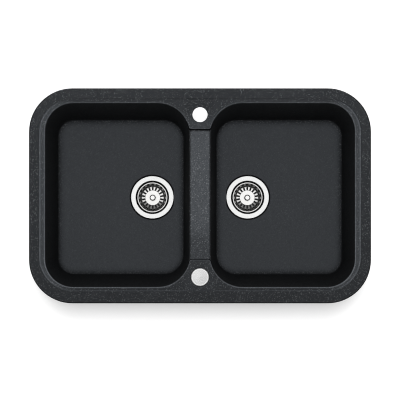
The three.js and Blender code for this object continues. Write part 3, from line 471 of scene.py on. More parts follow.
def paintedGraniteShading(tree, position, normal):  # tone over the sink, painted light and shade by region, and the masks of its lips, floors and painted-shade edges
    look = graniteLook
    x, y, z = axesOf(tree, position)
    facingX, facingY, upward = axesOf(tree, normal)
    away = mathNode(tree, "ABSOLUTE", x)
    inwards = distanceInside(tree, position, pocketPlan())

    def zone(name, value, *ends, smooth=True):
        return rangeNode(tree, value, *graniteZones[name], *ends, smooth=smooth)

    def band(name, value):
        level, half, soft = graniteBands[name]
        return useGroup(tree, bandGroup, Value=value, Level=level, Half_width=half, Softness=soft)[0]

    def times(*values):
        return product(tree, *values)

    def plusTimes(base, value, factor):
        return mathNode(tree, "MULTIPLY_ADD", value, factor, base)

    flat, onTop, deep = zone("flat", upward), zone("top", z), zone("floor", z)
    dividerTop, byPads, middle = band("dividerTop", z), band("pads", x), band("middle", x)
    ledgeFlat = times(band("ledge", z), flat)
    ledgeMask = times(ledgeFlat, mathNode(tree, "SUBTRACT", 1.0, byPads))
    ledgeTone = zone("ledgeSide", away, look["ledgeEnd"] - 1, look["ledgeSide"] - 1)
    padFront, padRear, padEnd = look["pad"]
    padTone = zone("padRear", y, padFront - 1, zone("padEnd", y, padRear - 1, padEnd - 1))
    dividerTone = zone("dividerRear", y, look["dividerFront"] - 1, look["divider"] - 1)

    lipMask = times(zone("lipLevel", upward), zone("lipSteep", upward), zone("lipHeight", z),
                    zone("lipInside", inwards))
    lipFront, lipRear = look["lip"]
    lipHighlight = plusTimes(zone("lipRear", y, lipFront - 1, lipRear - 1, smooth=False), zone("lipSide", away),
                        look["lipSide"])
    lipHighlight = times(lipHighlight, mathNode(tree, "MAXIMUM", zone("besidePad", away, look["lipByPad"], 1.0),
                                      zone("behindPad", y)))

    sideways = zone("stepSide", away)
    stepEdges = [rangeNode(tree, inwards, *(plusTimes(end, sideways, side) for end, side in stepBand[edge]))
                 for edge in ("low", "high")]
    stepMask = times(*stepEdges, onTop)
    stepSide, stepEnd = look["step"]
    stepHighlight = rangeNode(tree, sideways, 0, 1, times(zone("stepFront", y), stepEnd), stepSide, smooth=False)

    # painted light: the top lighter at the rear, the ledge, divider and pads lighter than the band, painted highlights
    # on the lips and step, painted light on the bowl floors
    rear, front = look["rearToFront"]
    fade = times(zone("rearToFront", y, front - 1, rear - 1, smooth=False), onTop)
    tone = mathNode(tree, "ADD", 1.0, fade)
    for mask, extra in ((ledgeMask, ledgeTone), (times(dividerTop, byPads, flat), dividerTone),
                        (times(ledgeFlat, byPads), padTone), (lipMask, lipHighlight), (stepMask, stepHighlight),
                        (deep, look["floor"] - 1)):
        tone = plusTimes(tone, mask, extra)

    # painted shade: darker bowl walls, outer shoulder, hole walls, foot of the rear pad and drain recesses
    dividerEdge = times(zone("underDividerTop", z), zone("aboveBowl", z))
    steepFrom, steepTo = (plusTimes(level, dividerEdge, extra)
                          for level, extra in zip(graniteZones["steep"], dividerSteep))
    steep = rangeNode(tree, upward, steepFrom, steepTo, zone("steepHeight", z, *look["steep"], smooth=False), 1.0)
    fromBowl = mathNode(tree, "SUBTRACT", away, (xMin + xMax) / 2 * mm)
    outwards = plusTimes(times(facingY, y), times(facingX, mathNode(tree, "SIGN", x)), fromBowl)
    steep = zone("steepTop", z, zone("steepOutwards", outwards, steep, 1.0), 1.0)
    shoulder = times(zone("shoulderOutside", inwards), times(zone("shoulderSteep", upward), zone("shoulderRear", y)))
    holeWall = times(middle, zone("holeSteep", upward), zone("holeHeight", z))
    paintedEdgeShade = mathNode(tree, "MAXIMUM", holeWall, times(dividerTop, middle, band("padFoot", y)))
    groove = zone("recessUnder", upward, 1.0, zone("recess", z, look["recess"], 1.0))
    for factor in (steep, groove, rangeNode(tree, shoulder, 0, 1, 1.0, look["shoulder"], smooth=False),
                   rangeNode(tree, paintedEdgeShade, 0, 1, 1.0, look["edge"], smooth=False)):
        tone = times(tone, factor)
    flecks = zone("frontFlecks", y, 1.0, look["frontFlecks"])
    return tone, lipMask, deep, mathNode(tree, "MAXIMUM", shoulder, paintedEdgeShade), flecks


def makeGranite():
    look = graniteLook
    material, tree, shader, position, normal = newMaterial("castGranite", look["roughness"],
                                                           specular=look["specular"])
    grain = useGroup(tree, grainGroup, Vector=position, Grain_size=look["grain"], Fleck_share=look["fleckShare"])
    tone, lipMask, deep, shadedEdgeMask, flecks = paintedGraniteShading(tree, position, normal)
    floorLoss, fewest = look["floorFlecks"]
    flecks = mathNode(tree, "MAXIMUM", mathNode(tree, "SUBTRACT", flecks, product(tree, deep, floorLoss)), fewest)
    floorGrain = mathNode(tree, "MULTIPLY_ADD", grain["Tone"], *look["floorGrain"])
    body = mixColours(tree, rangeNode(tree, deep, 0, 1, grain["Tone"], floorGrain, smooth=False), look["dark"],
                      look["light"])
    fleckShare = mathNode(tree, "DIVIDE", product(tree, grain["Flecks"], flecks),
                          mathNode(tree, "MAXIMUM", tone, 1.0))
    # the base colour is scaled by the painted light and shade
    feed(tree, shader["Base Color"], scaledVector(tree, mixColours(tree, fleckShare, body, look["fleck"]), tone))
    everywhere, withGrain, onLips = look["roughnessSpread"]
    rough = mathNode(tree, "MULTIPLY_ADD", grain["Tone"], withGrain, look["roughness"] + everywhere)
    feed(tree, shader["Roughness"], mathNode(tree, "MULTIPLY_ADD", lipMask, onLips, rough))
    # no specular on the edges that carry painted shade
    feed(tree, shader["Specular IOR Level"], rangeNode(tree, shadedEdgeMask, 0, 1, look["specular"], 0.0, smooth=False))
    addBump(tree, shader, grain["Height"], *look["relief"])
    return material


steelLook = {  # tops and radii are from the flange top and its axis; shade darkens the base colour as painted shade inside each cup and round the knob's top, and face paints the cover's face darker with a painted sheen
    "flange": {"base": (0.858, 0.863, 0.858), "roughness": 0.24, "rings": 2600.0, "streak": 1.4, "relief": 0.35,
               "shade": {"top": -0.0045, "clear": 0.0, "soft": 0.003, "front": 0.0, "tone": 0.05}},
    "basket": {"base": (0.914, 0.910, 0.898), "roughness": 0.24, "rings": 1800.0, "streak": 2.0, "relief": 0.35,
               "shade": {"top": -0.0050, "clear": 0.0245, "soft": 0.0045, "front": 0.8, "tone": 0.05}},
    "knob": {"base": (0.900, 0.896, 0.886), "roughness": 0.22, "rings": 3200.0, "streak": 2.5, "relief": 0.35,
             "shade": {"top": 0.01, "clear": 0.0050, "soft": 0.0006, "front": 0.0, "tone": 0.1}},
    "cover": {"base": (0.95, 0.955, 0.955), "roughness": 0.24, "rings": 1500.0, "streak": 1.0, "relief": 0.2,
              "face": {"edge": 0.0176, "soft": 0.0007, "tone": 0.72, "swing": 0.06}},
}
steelSkin = {"sizes": (0.002, 0.018), "streaks": (0.3, 0.7, 0.94, 1.03), "clouds": (0.35, 0.7, 0.98, 1.01),
             "roughness": (-0.05, 0.07), "depth": 0.000012}


def makeSpunSteel(name, centre, look):
    material, tree, shader, position, normal = newMaterial(name, look["roughness"], metallic=1.0)
    shift = addNode(tree, "ShaderNodeMapping", {"Location": [-value for value in centre], "Vector": position})
    local = shift.outputs[0]
    spun = useGroup(tree, spunGroup, Vector=local, Rings_per_metre=look["rings"], Streak_length=look["streak"])
    skinSize, cloudSize = steelSkin["sizes"]
    skin = useGroup(tree, mouldGroup, Vector=position, Skin_size=skinSize, Cloud_size=cloudSize)
    tone = product(tree, rangeNode(tree, spun["Streak"], *steelSkin["streaks"], smooth=False),
                   rangeNode(tree, skin["Cloud"], *steelSkin["clouds"]))
    # painted shade: a darker base colour on the unlit inside of a cup
    if "shade" in look:
        shade = look["shade"]
        inside = useGroup(tree, paintedCupShadeGroup, Position=local, Normal=normal, Top=shade["top"],
                          Clear_radius=shade["clear"], Softness=shade["soft"], Front_shade=shade["front"])[0]
        tone = product(tree, tone, rangeNode(tree, inside, 0, 1, 1.0, shade["tone"], smooth=False))
    # painted light on the cover: the face inside the bevel is painted darker than the rim, so the rim shows as a
    # painted highlight, and a painted sheen swings the face's tone round the axis
    if "face" in look:
        face = look["face"]
        inside = rangeNode(tree, spun["Radius"], face["edge"] + face["soft"], face["edge"])
        sheenTone = mathNode(tree, "MULTIPLY_ADD", spun["Fan"], face["swing"], face["tone"])
        tone = product(tree, tone, rangeNode(tree, inside, 0, 1, 1.0, sheenTone, smooth=False))
    feed(tree, shader["Base Color"], scaledVector(tree, look["base"], tone))
    streakLow, streakHigh = steelSkin["streaks"][:2]
    feed(tree, shader["Roughness"],
         rangeNode(tree, spun["Streak"], streakLow, streakHigh,
                   *(look["roughness"] + extra for extra in steelSkin["roughness"]), smooth=False))
    addBump(tree, shader, spun["Streak"], steelSkin["depth"], look["relief"])
    return material


surfaces = {  # what small parts of a kind share
    "metal": {"metallic": 1.0, "cloud": 0.006, "clouds": (0.35, 0.65), "roughBy": "Cloud",
              "roughness": (-0.06, 0.12), "relief": 0.6},
    "moulded": {"metallic": 0.0, "cloud": 0.035, "clouds": (0.35, 0.7), "roughBy": "Skin",
                "roughness": (-0.05, 0.08), "relief": 0.7},
}
smallLook = {
    "screwSteel": {"surface": "metal", "clean": (0.66, 0.67, 0.68), "dull": (0.56, 0.57, 0.58), "roughness": 0.30,
                   "skin": 0.0009, "depth": 0.00004, "specular": 0.5},
    "turnedBrass": {"surface": "metal", "clean": (0.80, 0.60, 0.30), "dull": (0.66, 0.47, 0.22), "roughness": 0.32,
                    "skin": 0.0009, "depth": 0.00004, "specular": 0.5},
    "platedZinc": {"surface": "metal", "clean": (0.60, 0.62, 0.64), "dull": (0.47, 0.49, 0.50), "roughness": 0.42,
                   "skin": 0.0009, "depth": 0.00004, "specular": 0.5},
    "mouldedPlastic": {"surface": "moulded", "clean": (0.78, 0.79, 0.77), "dull": (0.70, 0.70, 0.67),
                       "roughness": 0.40, "skin": 0.0006, "depth": 0.00004, "specular": 0.5},
    "blackRubber": {"surface": "moulded", "clean": (0.016, 0.017, 0.018), "dull": (0.030, 0.030, 0.030),
                    "roughness": 0.72, "skin": 0.0004, "depth": 0.00003, "specular": 0.35},
    "sealingFoam": {"surface": "moulded", "clean": (0.032, 0.033, 0.035), "dull": (0.060, 0.060, 0.060),
                    "roughness": 0.95, "skin": 0.0009, "depth": 0.0003, "specular": 0.2},
}
noiseSpan = (0.3, 0.7)  # where most of a noise's values lie


def makeSmallPartMaterial(name):
    look = smallLook[name]
    surface = surfaces[look["surface"]]
    material, tree, shader, position, _ = newMaterial(name, look["roughness"], surface["metallic"],
                                                      look["specular"])
    skin = useGroup(tree, mouldGroup, Vector=position, Skin_size=look["skin"], Cloud_size=surface["cloud"])
    cloud = rangeNode(tree, skin["Cloud"], *surface["clouds"])
    feed(tree, shader["Base Color"], mixColours(tree, cloud, look["clean"], look["dull"]))
    least, most = (look["roughness"] + extra for extra in surface["roughness"])
    feed(tree, shader["Roughness"], rangeNode(tree, skin[surface["roughBy"]], *noiseSpan, least, most))
    addBump(tree, shader, skin["Skin"], look["depth"], surface["relief"])
    return material


screwSteel, brass, zinc, plastic, rubber, foam = (makeSmallPartMaterial(name) for name in smallLook)
print("sink: materials of the small parts")


# Mesh helpers. The sizes in the dictionaries below are millimetres.

def solidFrom(name, points, faces):
    mesh = bpy.data.meshes.new(name)
    mesh.from_pydata([Vector(point) * mm for point in points], [], faces)
    tidy = bmesh.new()
    tidy.from_mesh(mesh)
    bmesh.ops.remove_doubles(tidy, verts=tidy.verts, dist=0.000002)
    bmesh.ops.dissolve_degenerate(tidy, edges=tidy.edges, dist=0.000001)
    bmesh.ops.recalc_face_normals(tidy, faces=tidy.faces)
    tidy.to_mesh(mesh)
    tidy.free()
    return makeObject(name, mesh)


def evaluated(piece):
    graph = bpy.context.evaluated_depsgraph_get()
    mesh = bpy.data.meshes.new_from_object(piece.evaluated_get(graph))
    piece.modifiers.clear()
    piece.data = mesh
    return piece


def combined(base, operation, *others):
    for other in others:
        step = base.modifiers.new("step", "BOOLEAN")
        step.operation = operation
        step.solver = "MANIFOLD"
        step.object = other
    evaluated(base)
    for other in others:
        bpy.data.objects.remove(other)
    return base


def cut(base, *others):
    return combined(base, "DIFFERENCE", *others)


def join(base, *others):
    return combined(base, "UNION", *others)


def softened(corners, closed=True, steps=4):  # corners given as (x, y, radius) are rounded
    points = []
    count = len(corners)
    for i, corner in enumerate(corners):
        here = Vector(corner[:2])
        radius = corner[2] if len(corner) > 2 else 0
        if not radius or (not closed and i in (0, count - 1)):
            points.append(tuple(here))
            continue
        before = Vector(corners[i - 1][:2]) - here
        after = Vector(corners[(i + 1) % count][:2]) - here
        turn = before.angle(after)
        reach = min(radius / math.tan(turn / 2), before.length * 0.49, after.length * 0.49)
        first, last = here + before.normalized() * reach, here + after.normalized() * reach
        for k in range(steps + 1):
            t = k / steps
            points.append(tuple(first * (1 - t) ** 2 + here * 2 * t * (1 - t) + last * t ** 2))
    return points


def sheetOutline(path, thickness):
    points = [Vector(point) for point in path]
    normals = []
    for a, b in zip(points, points[1:]):
        along = (b - a).normalized()
        normals.append(Vector((along.y, -along.x)))
    far = []
    for i, point in enumerate(points):
        before, after = normals[max(i - 1, 0)], normals[min(i, len(normals) - 1)]
        mitre = (before + after).normalized()
        far.append(point + mitre * (thickness / mitre.dot(after)))
    return [tuple(p) for p in points] + [tuple(p) for p in reversed(far)]


def turned(name, outline, steps=48, at=(0, 0, 0), tilt=None, reach=None):
    points, rows = [], []
    for r, z in outline:
        if r < 1e-6:
            rows.append([len(points)] * steps)
            points.append((0, 0, z))
            continue
        rows.append(list(range(len(points), len(points) + steps)))
        for k in range(steps):
            angle = 2 * math.pi * k / steps
            radius = reach(r, z, angle) if reach else r
            points.append((radius * math.cos(angle), radius * math.sin(angle), z))
    faces = []
    for low, high in zip(rows, rows[1:] + rows[:1]):
        if low[0] == low[1] and high[0] == high[1]:
            continue
        for k in range(steps):
            n = (k + 1) % steps
            face = [low[k], low[n], high[n], high[k]]
            face = [v for i, v in enumerate(face) if v != face[i - 1]]
            faces.append(face)
    turn = tilt or Matrix.Identity(4)
    return solidFrom(name, [turn @ Vector(p) + Vector(at) for p in points], faces)


def cylinder(radius, low, high, at=(0, 0, 0), steps=48, tilt=None):
    return turned("cutter", [(0, low), (radius, low), (radius, high), (0, high)], steps, at, tilt)


def box(xMin, xMax, yMin, yMax, zMin, zMax, turn=0.0, at=(0, 0, 0)):
    spin = Matrix.Rotation(turn, 4, "Z")
    points = [(x, y, z) for z in (zMin, zMax) for y in (yMin, yMax) for x in (xMin, xMax)]
    faces = [(0, 2, 3, 1), (4, 5, 7, 6), (0, 1, 5, 4), (2, 6, 7, 3), (0, 4, 6, 2), (1, 3, 7, 5)]
    return solidFrom("block", [spin @ Vector(p) + Vector(at) for p in points], faces)


def arcPoints(x, y, radius, start, end, steps):
    angles = [math.radians(start + (end - start) * i / steps) for i in range(steps + 1)]
    return [(x + radius * math.cos(a), y + radius * math.sin(a)) for a in angles]


def roundedRing(outline, z, steps):
    xMin, xMax, yMin, yMax, radii = outline
    a, b, c, d = radii
    corners = [(xMax - a, yMax - a, a), (xMin + b, yMax - b, b), (xMin + c, yMin + c, c),
               (xMax - d, yMin + d, d)]
    ring = []
    for i, (x, y, radius) in enumerate(corners):
        ring += [(px, py, z) for px, py in arcPoints(x, y, radius, 90 * i, 90 * i + 90, steps)]
    return ring


def lofted(name, rings, closed=False):
    count = len(rings[0])
    points = [point for ring in rings for point in ring]
    faces = [] if closed else [list(range(count))[::-1], list(range((len(rings) - 1) * count, len(points)))]
    for level in range(len(rings) - (0 if closed else 1)):
        here, above = level * count, (level + 1) % len(rings) * count
        for i in range(count):
            n = (i + 1) % count
            faces.append([here + i, here + n, above + n, above + i])
    return solidFrom(name, points, faces)


def extruded(name, outline, low, high):  # a section in X and Z, drawn out along Y
    return lofted(name, [[(x, y, z) for x, z in outline] for y in (low, high)])


def spotsRound(count, radius, start=0.0):
    angles = [start + 2 * math.pi * i / count for i in range(count)]
    return [Vector((radius * math.cos(a), radius * math.sin(a), 0)) for a in angles]


def lyingTowards(angle):  # turns an upright shape to lie in this direction
    return Matrix.Rotation(angle, 4, "Z") @ Matrix.Rotation(quarter, 4, "Y")


def moved(piece, at, turn):
    piece.data.transform(Matrix.Translation(Vector(at) * mm) @ turn)
    return piece


def dressed(piece, material, body, replaced, crease=38):
    piece.data.materials.clear()
    piece.data.materials.append(material)
    piece.data.shade_smooth()
    piece.data.set_sharp_from_angle(angle=math.radians(crease))
    even = piece.modifiers.new("evenNormals", "WEIGHTED_NORMAL")
    even.keep_sharp = True
    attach(piece, body)
    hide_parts(*replaced)
    return piece


# The cast sink body

rim = {"width": 795, "depth": 500, "corner": 101, "height": 9, "shoulder": 4.5, "foot": 1.5,
       "bandSide": 23.7, "bandRear": 25.4, "bandFront": 30, "stepDrop": 2.5, "stepSlope": 1.2,
       "stepCove": 0.5, "stepEdge": 0.9, "deck": 10.5, "seat": 12, "cutOutPlay": 2,
       "cornerSteps": 16, "roundSteps": 8, "edgeSteps": 4}
bowl = {"divider": 47.4, "ledgeSide": 14, "ledgeRear": 9.4, "ledgeFront": 8.5, "cornerOuter": 65,
        "cornerInner": 75, "depth": 188.5, "fall": 4, "wall": 9, "draftSide": 4.9, "draftEnd": 8.5,
        "cove": 24, "lip": 4, "coveSteps": 10}
pads = {"drop": 12, "lengths": {1: 60.2, -1: 63.5}, "corner": 8, "cornerSteps": 6, "overlap": 8, "edge": 2.8,
        "foot": [(-14.0, -2.6), (-12.0, -2.6), (-11.7, -2.1), (-11.0, -1.6)],  # height and offset of the cove
        "slant": {1: 1.0, -1: 0.4}}  # share of the cove's offset; 1 is the rear pad, -1 the front one
holes = {"tap": 17.5, "tapInset": 61, "overflow": 15.5, "overflowInset": 61, "recess": 23.1,
         "recessDepth": 4, "edge": 0.8, "chamfer": 0.6, "steps": 72}
strainer = {"fromDivider": 92.5, "flange": 52, "play": 3, "gasket": 1.5, "sheet": 1.4, "throat": 39.5,
            "depth": 41, "taper": 3, "holePlay": 5, "seat": 9, "hub": 9, "hubDepth": 9, "hubTaper": 1.4,
            "drainHoles": 6, "drainHole": 5.4, "drainRing": 15.5, "edge": 1.0}
clamps = {"inset": 9.5, "boss": 6.5, "bossLength": 26, "screw": 2.5, "bore": 2.9, "boreDepth": 31,
          "engaged": 10, "drop": 15, "hub": 7, "thick": 12, "reach": 30, "tooth": 6, "arm": 6, "edge": 0.7,
          "head": 5, "headHeight": 3.6, "threadPitch": 0.8, "threadDepth": 0.45, "crossLength": 6.4,
          "crossWidth": 1.2}
strip = {"inset": 3, "width": 5, "thick": 1.7}
fit = 0.3

ledge = rim["height"] - rim["stepDrop"]
deckBottom = ledge - rim["deck"]
xMin, xMax = bowl["divider"] / 2, rim["width"] / 2 - rim["bandSide"] - bowl["ledgeSide"]
yMin = -(rim["depth"] / 2 - rim["bandFront"] - bowl["ledgeFront"])
yMax = rim["depth"] / 2 - rim["bandRear"] - bowl["ledgeRear"]
drainX, drainY = xMin + strainer["fromDivider"], (yMin + yMax) / 2
drainZ = ledge - bowl["depth"] - bowl["fall"]
recess = strainer["flange"] + strainer["play"]
recessDepth = strainer["gasket"] + strainer["sheet"] + 2 * fit
floorHole = strainer["throat"] + strainer["holePlay"]
seatBottom = -recessDepth - strainer["seat"]
tapY = rim["depth"] / 2 - holes["tapInset"]
overflowY = -(rim["depth"] / 2 - holes["overflowInset"])
dividerTop = ledge - pads["drop"]
padEnds = {1: yMax - pads["lengths"][1], -1: yMin + pads["lengths"][-1]}
cutOut = [rim[size] / 2 - rim["seat"] + rim["cutOutPlay"] for size in ("width", "depth")]
sides = {"left": -1, "right": 1}


def rimOutline(inset):
    x, y = rim["width"] / 2 - inset, rim["depth"] / 2 - inset
    return (-x, x, -y, y, [rim["corner"] - inset] * 4)


def rimRing(inset, z):
    return roundedRing(rimOutline(inset), z, rim["cornerSteps"])


def pocketEdges(outset=0.0):  # half width, front, rear and corner of the step round the ledge
    return (rim["width"] / 2 - rim["bandSide"] + outset, -rim["depth"] / 2 + rim["bandFront"] - outset,
            rim["depth"] / 2 - rim["bandRear"] + outset, rim["corner"] - rim["bandSide"] + outset)


def pocketRing(outset, z):
    x, low, high, corner = pocketEdges(outset)
    return roundedRing((-x, x, low, high, [corner] * 4), z, rim["cornerSteps"])


def pocketPlan():  # the same step in metres, for the granite
    x, low, high, corner = (value * mm for value in pocketEdges())
    return {"middle": (0, (low + high) / 2, 0), "half": (x, (high - low) / 2), "corner": corner}


def wallInset(depth, draft):
    cove = bowl["cove"]
    into = max(depth - (bowl["depth"] - cove), 0)
    return depth * math.tan(math.radians(draft)) + cove - math.sqrt(max(cove ** 2 - into ** 2, 0))


def bowlRing(side, depth, outset, z):
    sideInset = wallInset(depth, bowl["draftSide"]) - outset
    endInset = wallInset(depth, bowl["draftEnd"]) - outset
    near, far = xMin + sideInset, xMax - sideInset
    outer, inner = bowl["cornerOuter"] - endInset, bowl["cornerInner"] - endInset
    low, high = (near, far) if side > 0 else (-far, -near)
    radii = [outer, inner, inner, outer] if side > 0 else [inner, outer, outer, inner]
    return roundedRing((low, high, yMin + endInset, yMax - endInset, radii), z, rim["cornerSteps"])


def drainCircle(side, radius, z):
    x, y = side * drainX, drainY
    return roundedRing((x - radius, x + radius, y - radius, y + radius, [radius * 0.999] * 4), z,
                       rim["cornerSteps"])


def quarterSteps(count):
    return [quarter * i / count for i in range(count + 1)]


def makeRim():
    top, shoulder, slopeEnd = rim["height"], rim["shoulder"], rim["stepSlope"]
    rings = [rimRing(rim["foot"], 0), rimRing(0, rim["foot"])]
    rings += [rimRing(shoulder * (1 - math.cos(a)), top - shoulder * (1 - math.sin(a)))
              for a in quarterSteps(rim["roundSteps"])]
    plate = lofted("sinkBody", rings)
    locating = lofted("locatingStep", [rimRing(rim["seat"], z) for z in (deckBottom, ledge - rim["stepDrop"])])
    slope = softened([(0, ledge - 3), (0, ledge, rim["stepCove"]), (slopeEnd, top, rim["stepEdge"]),
                      (slopeEnd + 4, top)], closed=False)[1:]
    mouth = slopeEnd + rim["stepEdge"]
    pocket = lofted("pocket", [pocketRing(-3 * rim["stepCove"], ledge)]
                    + [pocketRing(outset, z) for outset, z in slope if z < top]
                    + [pocketRing(mouth, top), pocketRing(mouth, top + 6)])
    return cut(join(plate, locating), pocket)


def coveDepths():
    return [bowl["depth"] - bowl["cove"] * (1 - math.sin(a)) for a in quarterSteps(bowl["coveSteps"])]


def makeBowlCavity(side):
    lip = bowl["lip"]
    rings = [drainCircle(side, recess, drainZ)]
    rings += [bowlRing(side, depth, 0, ledge - depth) for depth in reversed(coveDepths())]
    rings += [bowlRing(side, 0, lip * (1 - math.cos(a)), ledge - lip * (1 - math.sin(a)))
              for a in quarterSteps(rim["roundSteps"])]
    rings.append(bowlRing(side, 0, lip, rim["height"] + lip))
    return lofted("bowlCavity", rings)


def makeBowlShell(side):
    drop = strainer["seat"] + recessDepth
    rings = [drainCircle(side, recess + bowl["wall"], drainZ - drop)]
    depths = list(reversed(coveDepths()))
    for i, depth in enumerate(depths):
        lowered = drop * (1 - i / bowl["coveSteps"])
        rings.append(bowlRing(side, depth, bowl["wall"], ledge - depth - lowered))
    rings.append(bowlRing(side, 0, bowl["wall"], ledge - bowl["lip"]))
    return lofted("bowlShell", rings)


def makeDrainSeat(side):
    edge = strainer["edge"]
    mouth = [(recess + edge * (1 - math.cos(a)), -edge * (1 - math.sin(a)) + 0.02)
             for a in quarterSteps(rim["edgeSteps"])]
    outline = [(0, 2 * seatBottom), (floorHole, 2 * seatBottom), (floorHole, -recessDepth), (recess, -recessDepth),
               *mouth, (recess + edge, bowl["fall"]), (0, bowl["fall"])]
    return turned("drainSeat", outline, holes["steps"], (side * drainX, drainY, drainZ))


def makeDividerCut():
    lowHalf = bowl["divider"] / 2 + pads["drop"] * math.tan(math.radians(bowl["draftSide"]))
    lip, wide, top = bowl["lip"], bowl["divider"], rim["height"] + bowl["lip"]
    level = dividerTop - lip
    section = [(-wide, top), (-wide, level), *arcPoints(-lowHalf + lip, level, lip, 180, 90, rim["roundSteps"]),
               *arcPoints(lowHalf - lip, level, lip, 90, 0, rim["roundSteps"]), (wide, level), (wide, top)]
    channel = extruded("dividerCut", section, padEnds[-1] - 20, padEnds[1] + 20)
    edge = pads["edge"]
    levels = pads["foot"] + [(-edge * (1 - math.sin(a)), edge * (1 - math.cos(a)))
                             for a in quarterSteps(rim["edgeSteps"])] + [(rim["height"], edge)]
    rings = [padOutline(offset, ledge + height) for height, offset in levels]
    return combined(channel, "INTERSECT", lofted("betweenPads", rings))


def padOutline(offset, z):  # plan of the lowered part, pushed into both pads by an offset
    ring, corner, bend = [], pads["corner"], bowl["cornerInner"]
    for direction, end in padEnds.items():
        rise = max(bend - pads["lengths"][direction] + corner, 0)
        half = bend + bowl["divider"] / 2 - math.sqrt(bend ** 2 - rise ** 2)
        radius = corner - (offset * pads["slant"][direction] if offset < 0 else offset)
        curve = [(half - corner + radius * math.sin(a), end + direction * (corner - radius * math.cos(a)))
                 for a in quarterSteps(pads["cornerSteps"])]
        curve.append((bowl["divider"] * 1.4, end + direction * corner))
        right, left = [(x, y, z) for x, y in curve], [(-x, y, z) for x, y in curve]
        ring += right[::-1] + left if direction > 0 else left[::-1] + right
    return ring


def clampSpots():
    middle, x, y = (xMin + xMax) / 2, cutOut[0] - clamps["inset"], cutOut[1] - clamps["inset"]
    return {"rear_left": (-middle, y, 90), "rear_right": (middle, y, 90), "front_left": (-middle, -y, -90),
            "front_right": (middle, -y, -90), "left": (-x, drainY, 180), "right": (x, drainY, 0)}


def makeBosses():  # each a boss for a clamp's screw, and a block that ties it to the rim
    bosses, low, half = [], deckBottom - clamps["bossLength"], clamps["boss"] / 2
    for x, y, out in clampSpots().values():
        bosses.append(box(-2 * clamps["inset"], 0, -half, half, low + fit, deckBottom + fit, math.radians(out),
                          (x, y, 0)))
        bosses.append(cylinder(clamps["boss"], low, ledge - rim["stepDrop"], (x, y, 0), 32))
    return bosses


def flaredMouth(radius):  # the rounded top of a hole in the ledge, up to the cutter's end
    edge = holes["edge"]
    flare = [(radius + edge * (1 - math.cos(a)), ledge - edge * (1 - math.sin(a)))
             for a in quarterSteps(rim["edgeSteps"])]
    return flare + [(radius + edge, rim["height"]), (0, rim["height"])]


def makeTapCut():
    tap, chamfer = holes["tap"], holes["chamfer"]
    return turned("tapCut", [(0, deckBottom - 1), (tap + chamfer, deckBottom - 1), (tap, deckBottom + chamfer),
                             *flaredMouth(tap)], holes["steps"], (0, tapY, 0))


def makeOverflowCut():
    bore, low = holes["overflow"], ledge - holes["recessDepth"]
    return turned("overflowCut", [(0, deckBottom - 1), (bore, deckBottom - 1), (bore, low), (holes["recess"], low),
                                  *flaredMouth(holes["recess"])], holes["steps"], (0, overflowY, 0))


def makeSinkBody():
    body = makeRim()
    half = (bowl["divider"] + bowl["wall"]) / 2
    bar = box(-half, half, padEnds[-1] - pads["overlap"], padEnds[1] + pads["overlap"], dividerTop - rim["deck"],
              ledge - rim["stepDrop"])
    join(body, bar, makeBowlShell(-1), makeBowlShell(1), *makeBosses())
    inner, grooveTop = strip["inset"] + strip["width"], strip["thick"] + fit
    corners = ((strip["inset"], -1), (strip["inset"], grooveTop), (inner, grooveTop), (inner, -1))
    groove = lofted("stripGroove", [rimRing(inset, z) for inset, z in corners], closed=True)
    mouth = deckBottom - clamps["bossLength"]
    bores = [cylinder(clamps["bore"], mouth - 1, mouth + clamps["boreDepth"], (x, y, 0), 24)
             for x, y, _ in clampSpots().values()]
    cut(body, makeBowlCavity(-1), makeBowlCavity(1), makeDrainSeat(-1), makeDrainSeat(1), makeDividerCut(),
        makeTapCut(), makeOverflowCut(), groove, *bores)
    return dressed(body, granite, "root", ["sink_body"], 40)


granite = makeGranite()
makeSinkBody()
print("sink: cast body")


def makeStrip():
    inner = strip["inset"] + strip["width"] - fit
    outer = strip["inset"] + fit
    section = softened([(outer, 0, 0.5), (inner, 0, 0.5), (inner, strip["thick"], 0.4), (outer, strip["thick"], 0.4)])
    piece = lofted("rimStrip", [rimRing(inset, z) for inset, z in section], closed=True)
    return dressed(piece, foam, "root", ["rim_sealing_strip"])


makeStrip()
print("sink: sealing strip")


# Repeats round an axis, made by Geometry Nodes

def newRepeat(name, inputs):
    tree = bpy.data.node_groups.new(name, "GeometryNodeTree")
    for label, kind in {"Geometry": "Geometry", **inputs, "Material": "Material"}.items():
        tree.interface.new_socket(name=label, in_out="INPUT", socket_type="NodeSocket" + kind)
    tree.interface.new_socket(name="Geometry", in_out="OUTPUT", socket_type="NodeSocketGeometry")
    return tree, tree.nodes.new("NodeGroupInput").outputs


def aroundAxis(tree, count, geometry):  # copies of a geometry, turned evenly about Z
    points = addNode(tree, "GeometryNodePoints", {"Count": count})
    index = addNode(tree, "GeometryNodeInputIndex")
    angle = product(tree, index.outputs[0], mathNode(tree, "DIVIDE", 2 * math.pi, count))
    spin = addNode(tree, "ShaderNodeCombineXYZ", {"Z": angle})
    copies = addNode(tree, "GeometryNodeInstanceOnPoints",
                     {"Points": points.outputs[0], "Instance": geometry, "Rotation": spin.outputs[0]})
    return addNode(tree, "GeometryNodeRealizeInstances", {0: copies.outputs[0]}).outputs[0]


def paintedOutput(tree, geometry, material):
    painted = addNode(tree, "GeometryNodeSetMaterial", {"Geometry": geometry, "Material": material})
    addNode(tree, "NodeGroupOutput", {0: painted.outputs[0]})
    return tree


def makeSectorTree():  # repeats one sector and welds the seams
    tree, given = newRepeat("sectorRing", {"Count": "Int", "Weld distance": "Float"})
    ring = aroundAxis(tree, given["Count"], given["Geometry"])
    weld = addNode(tree, "GeometryNodeMergeByDistance", {"Geometry": ring, "Distance": given["Weld distance"]})
    return paintedOutput(tree, weld.outputs[0], given["Material"])


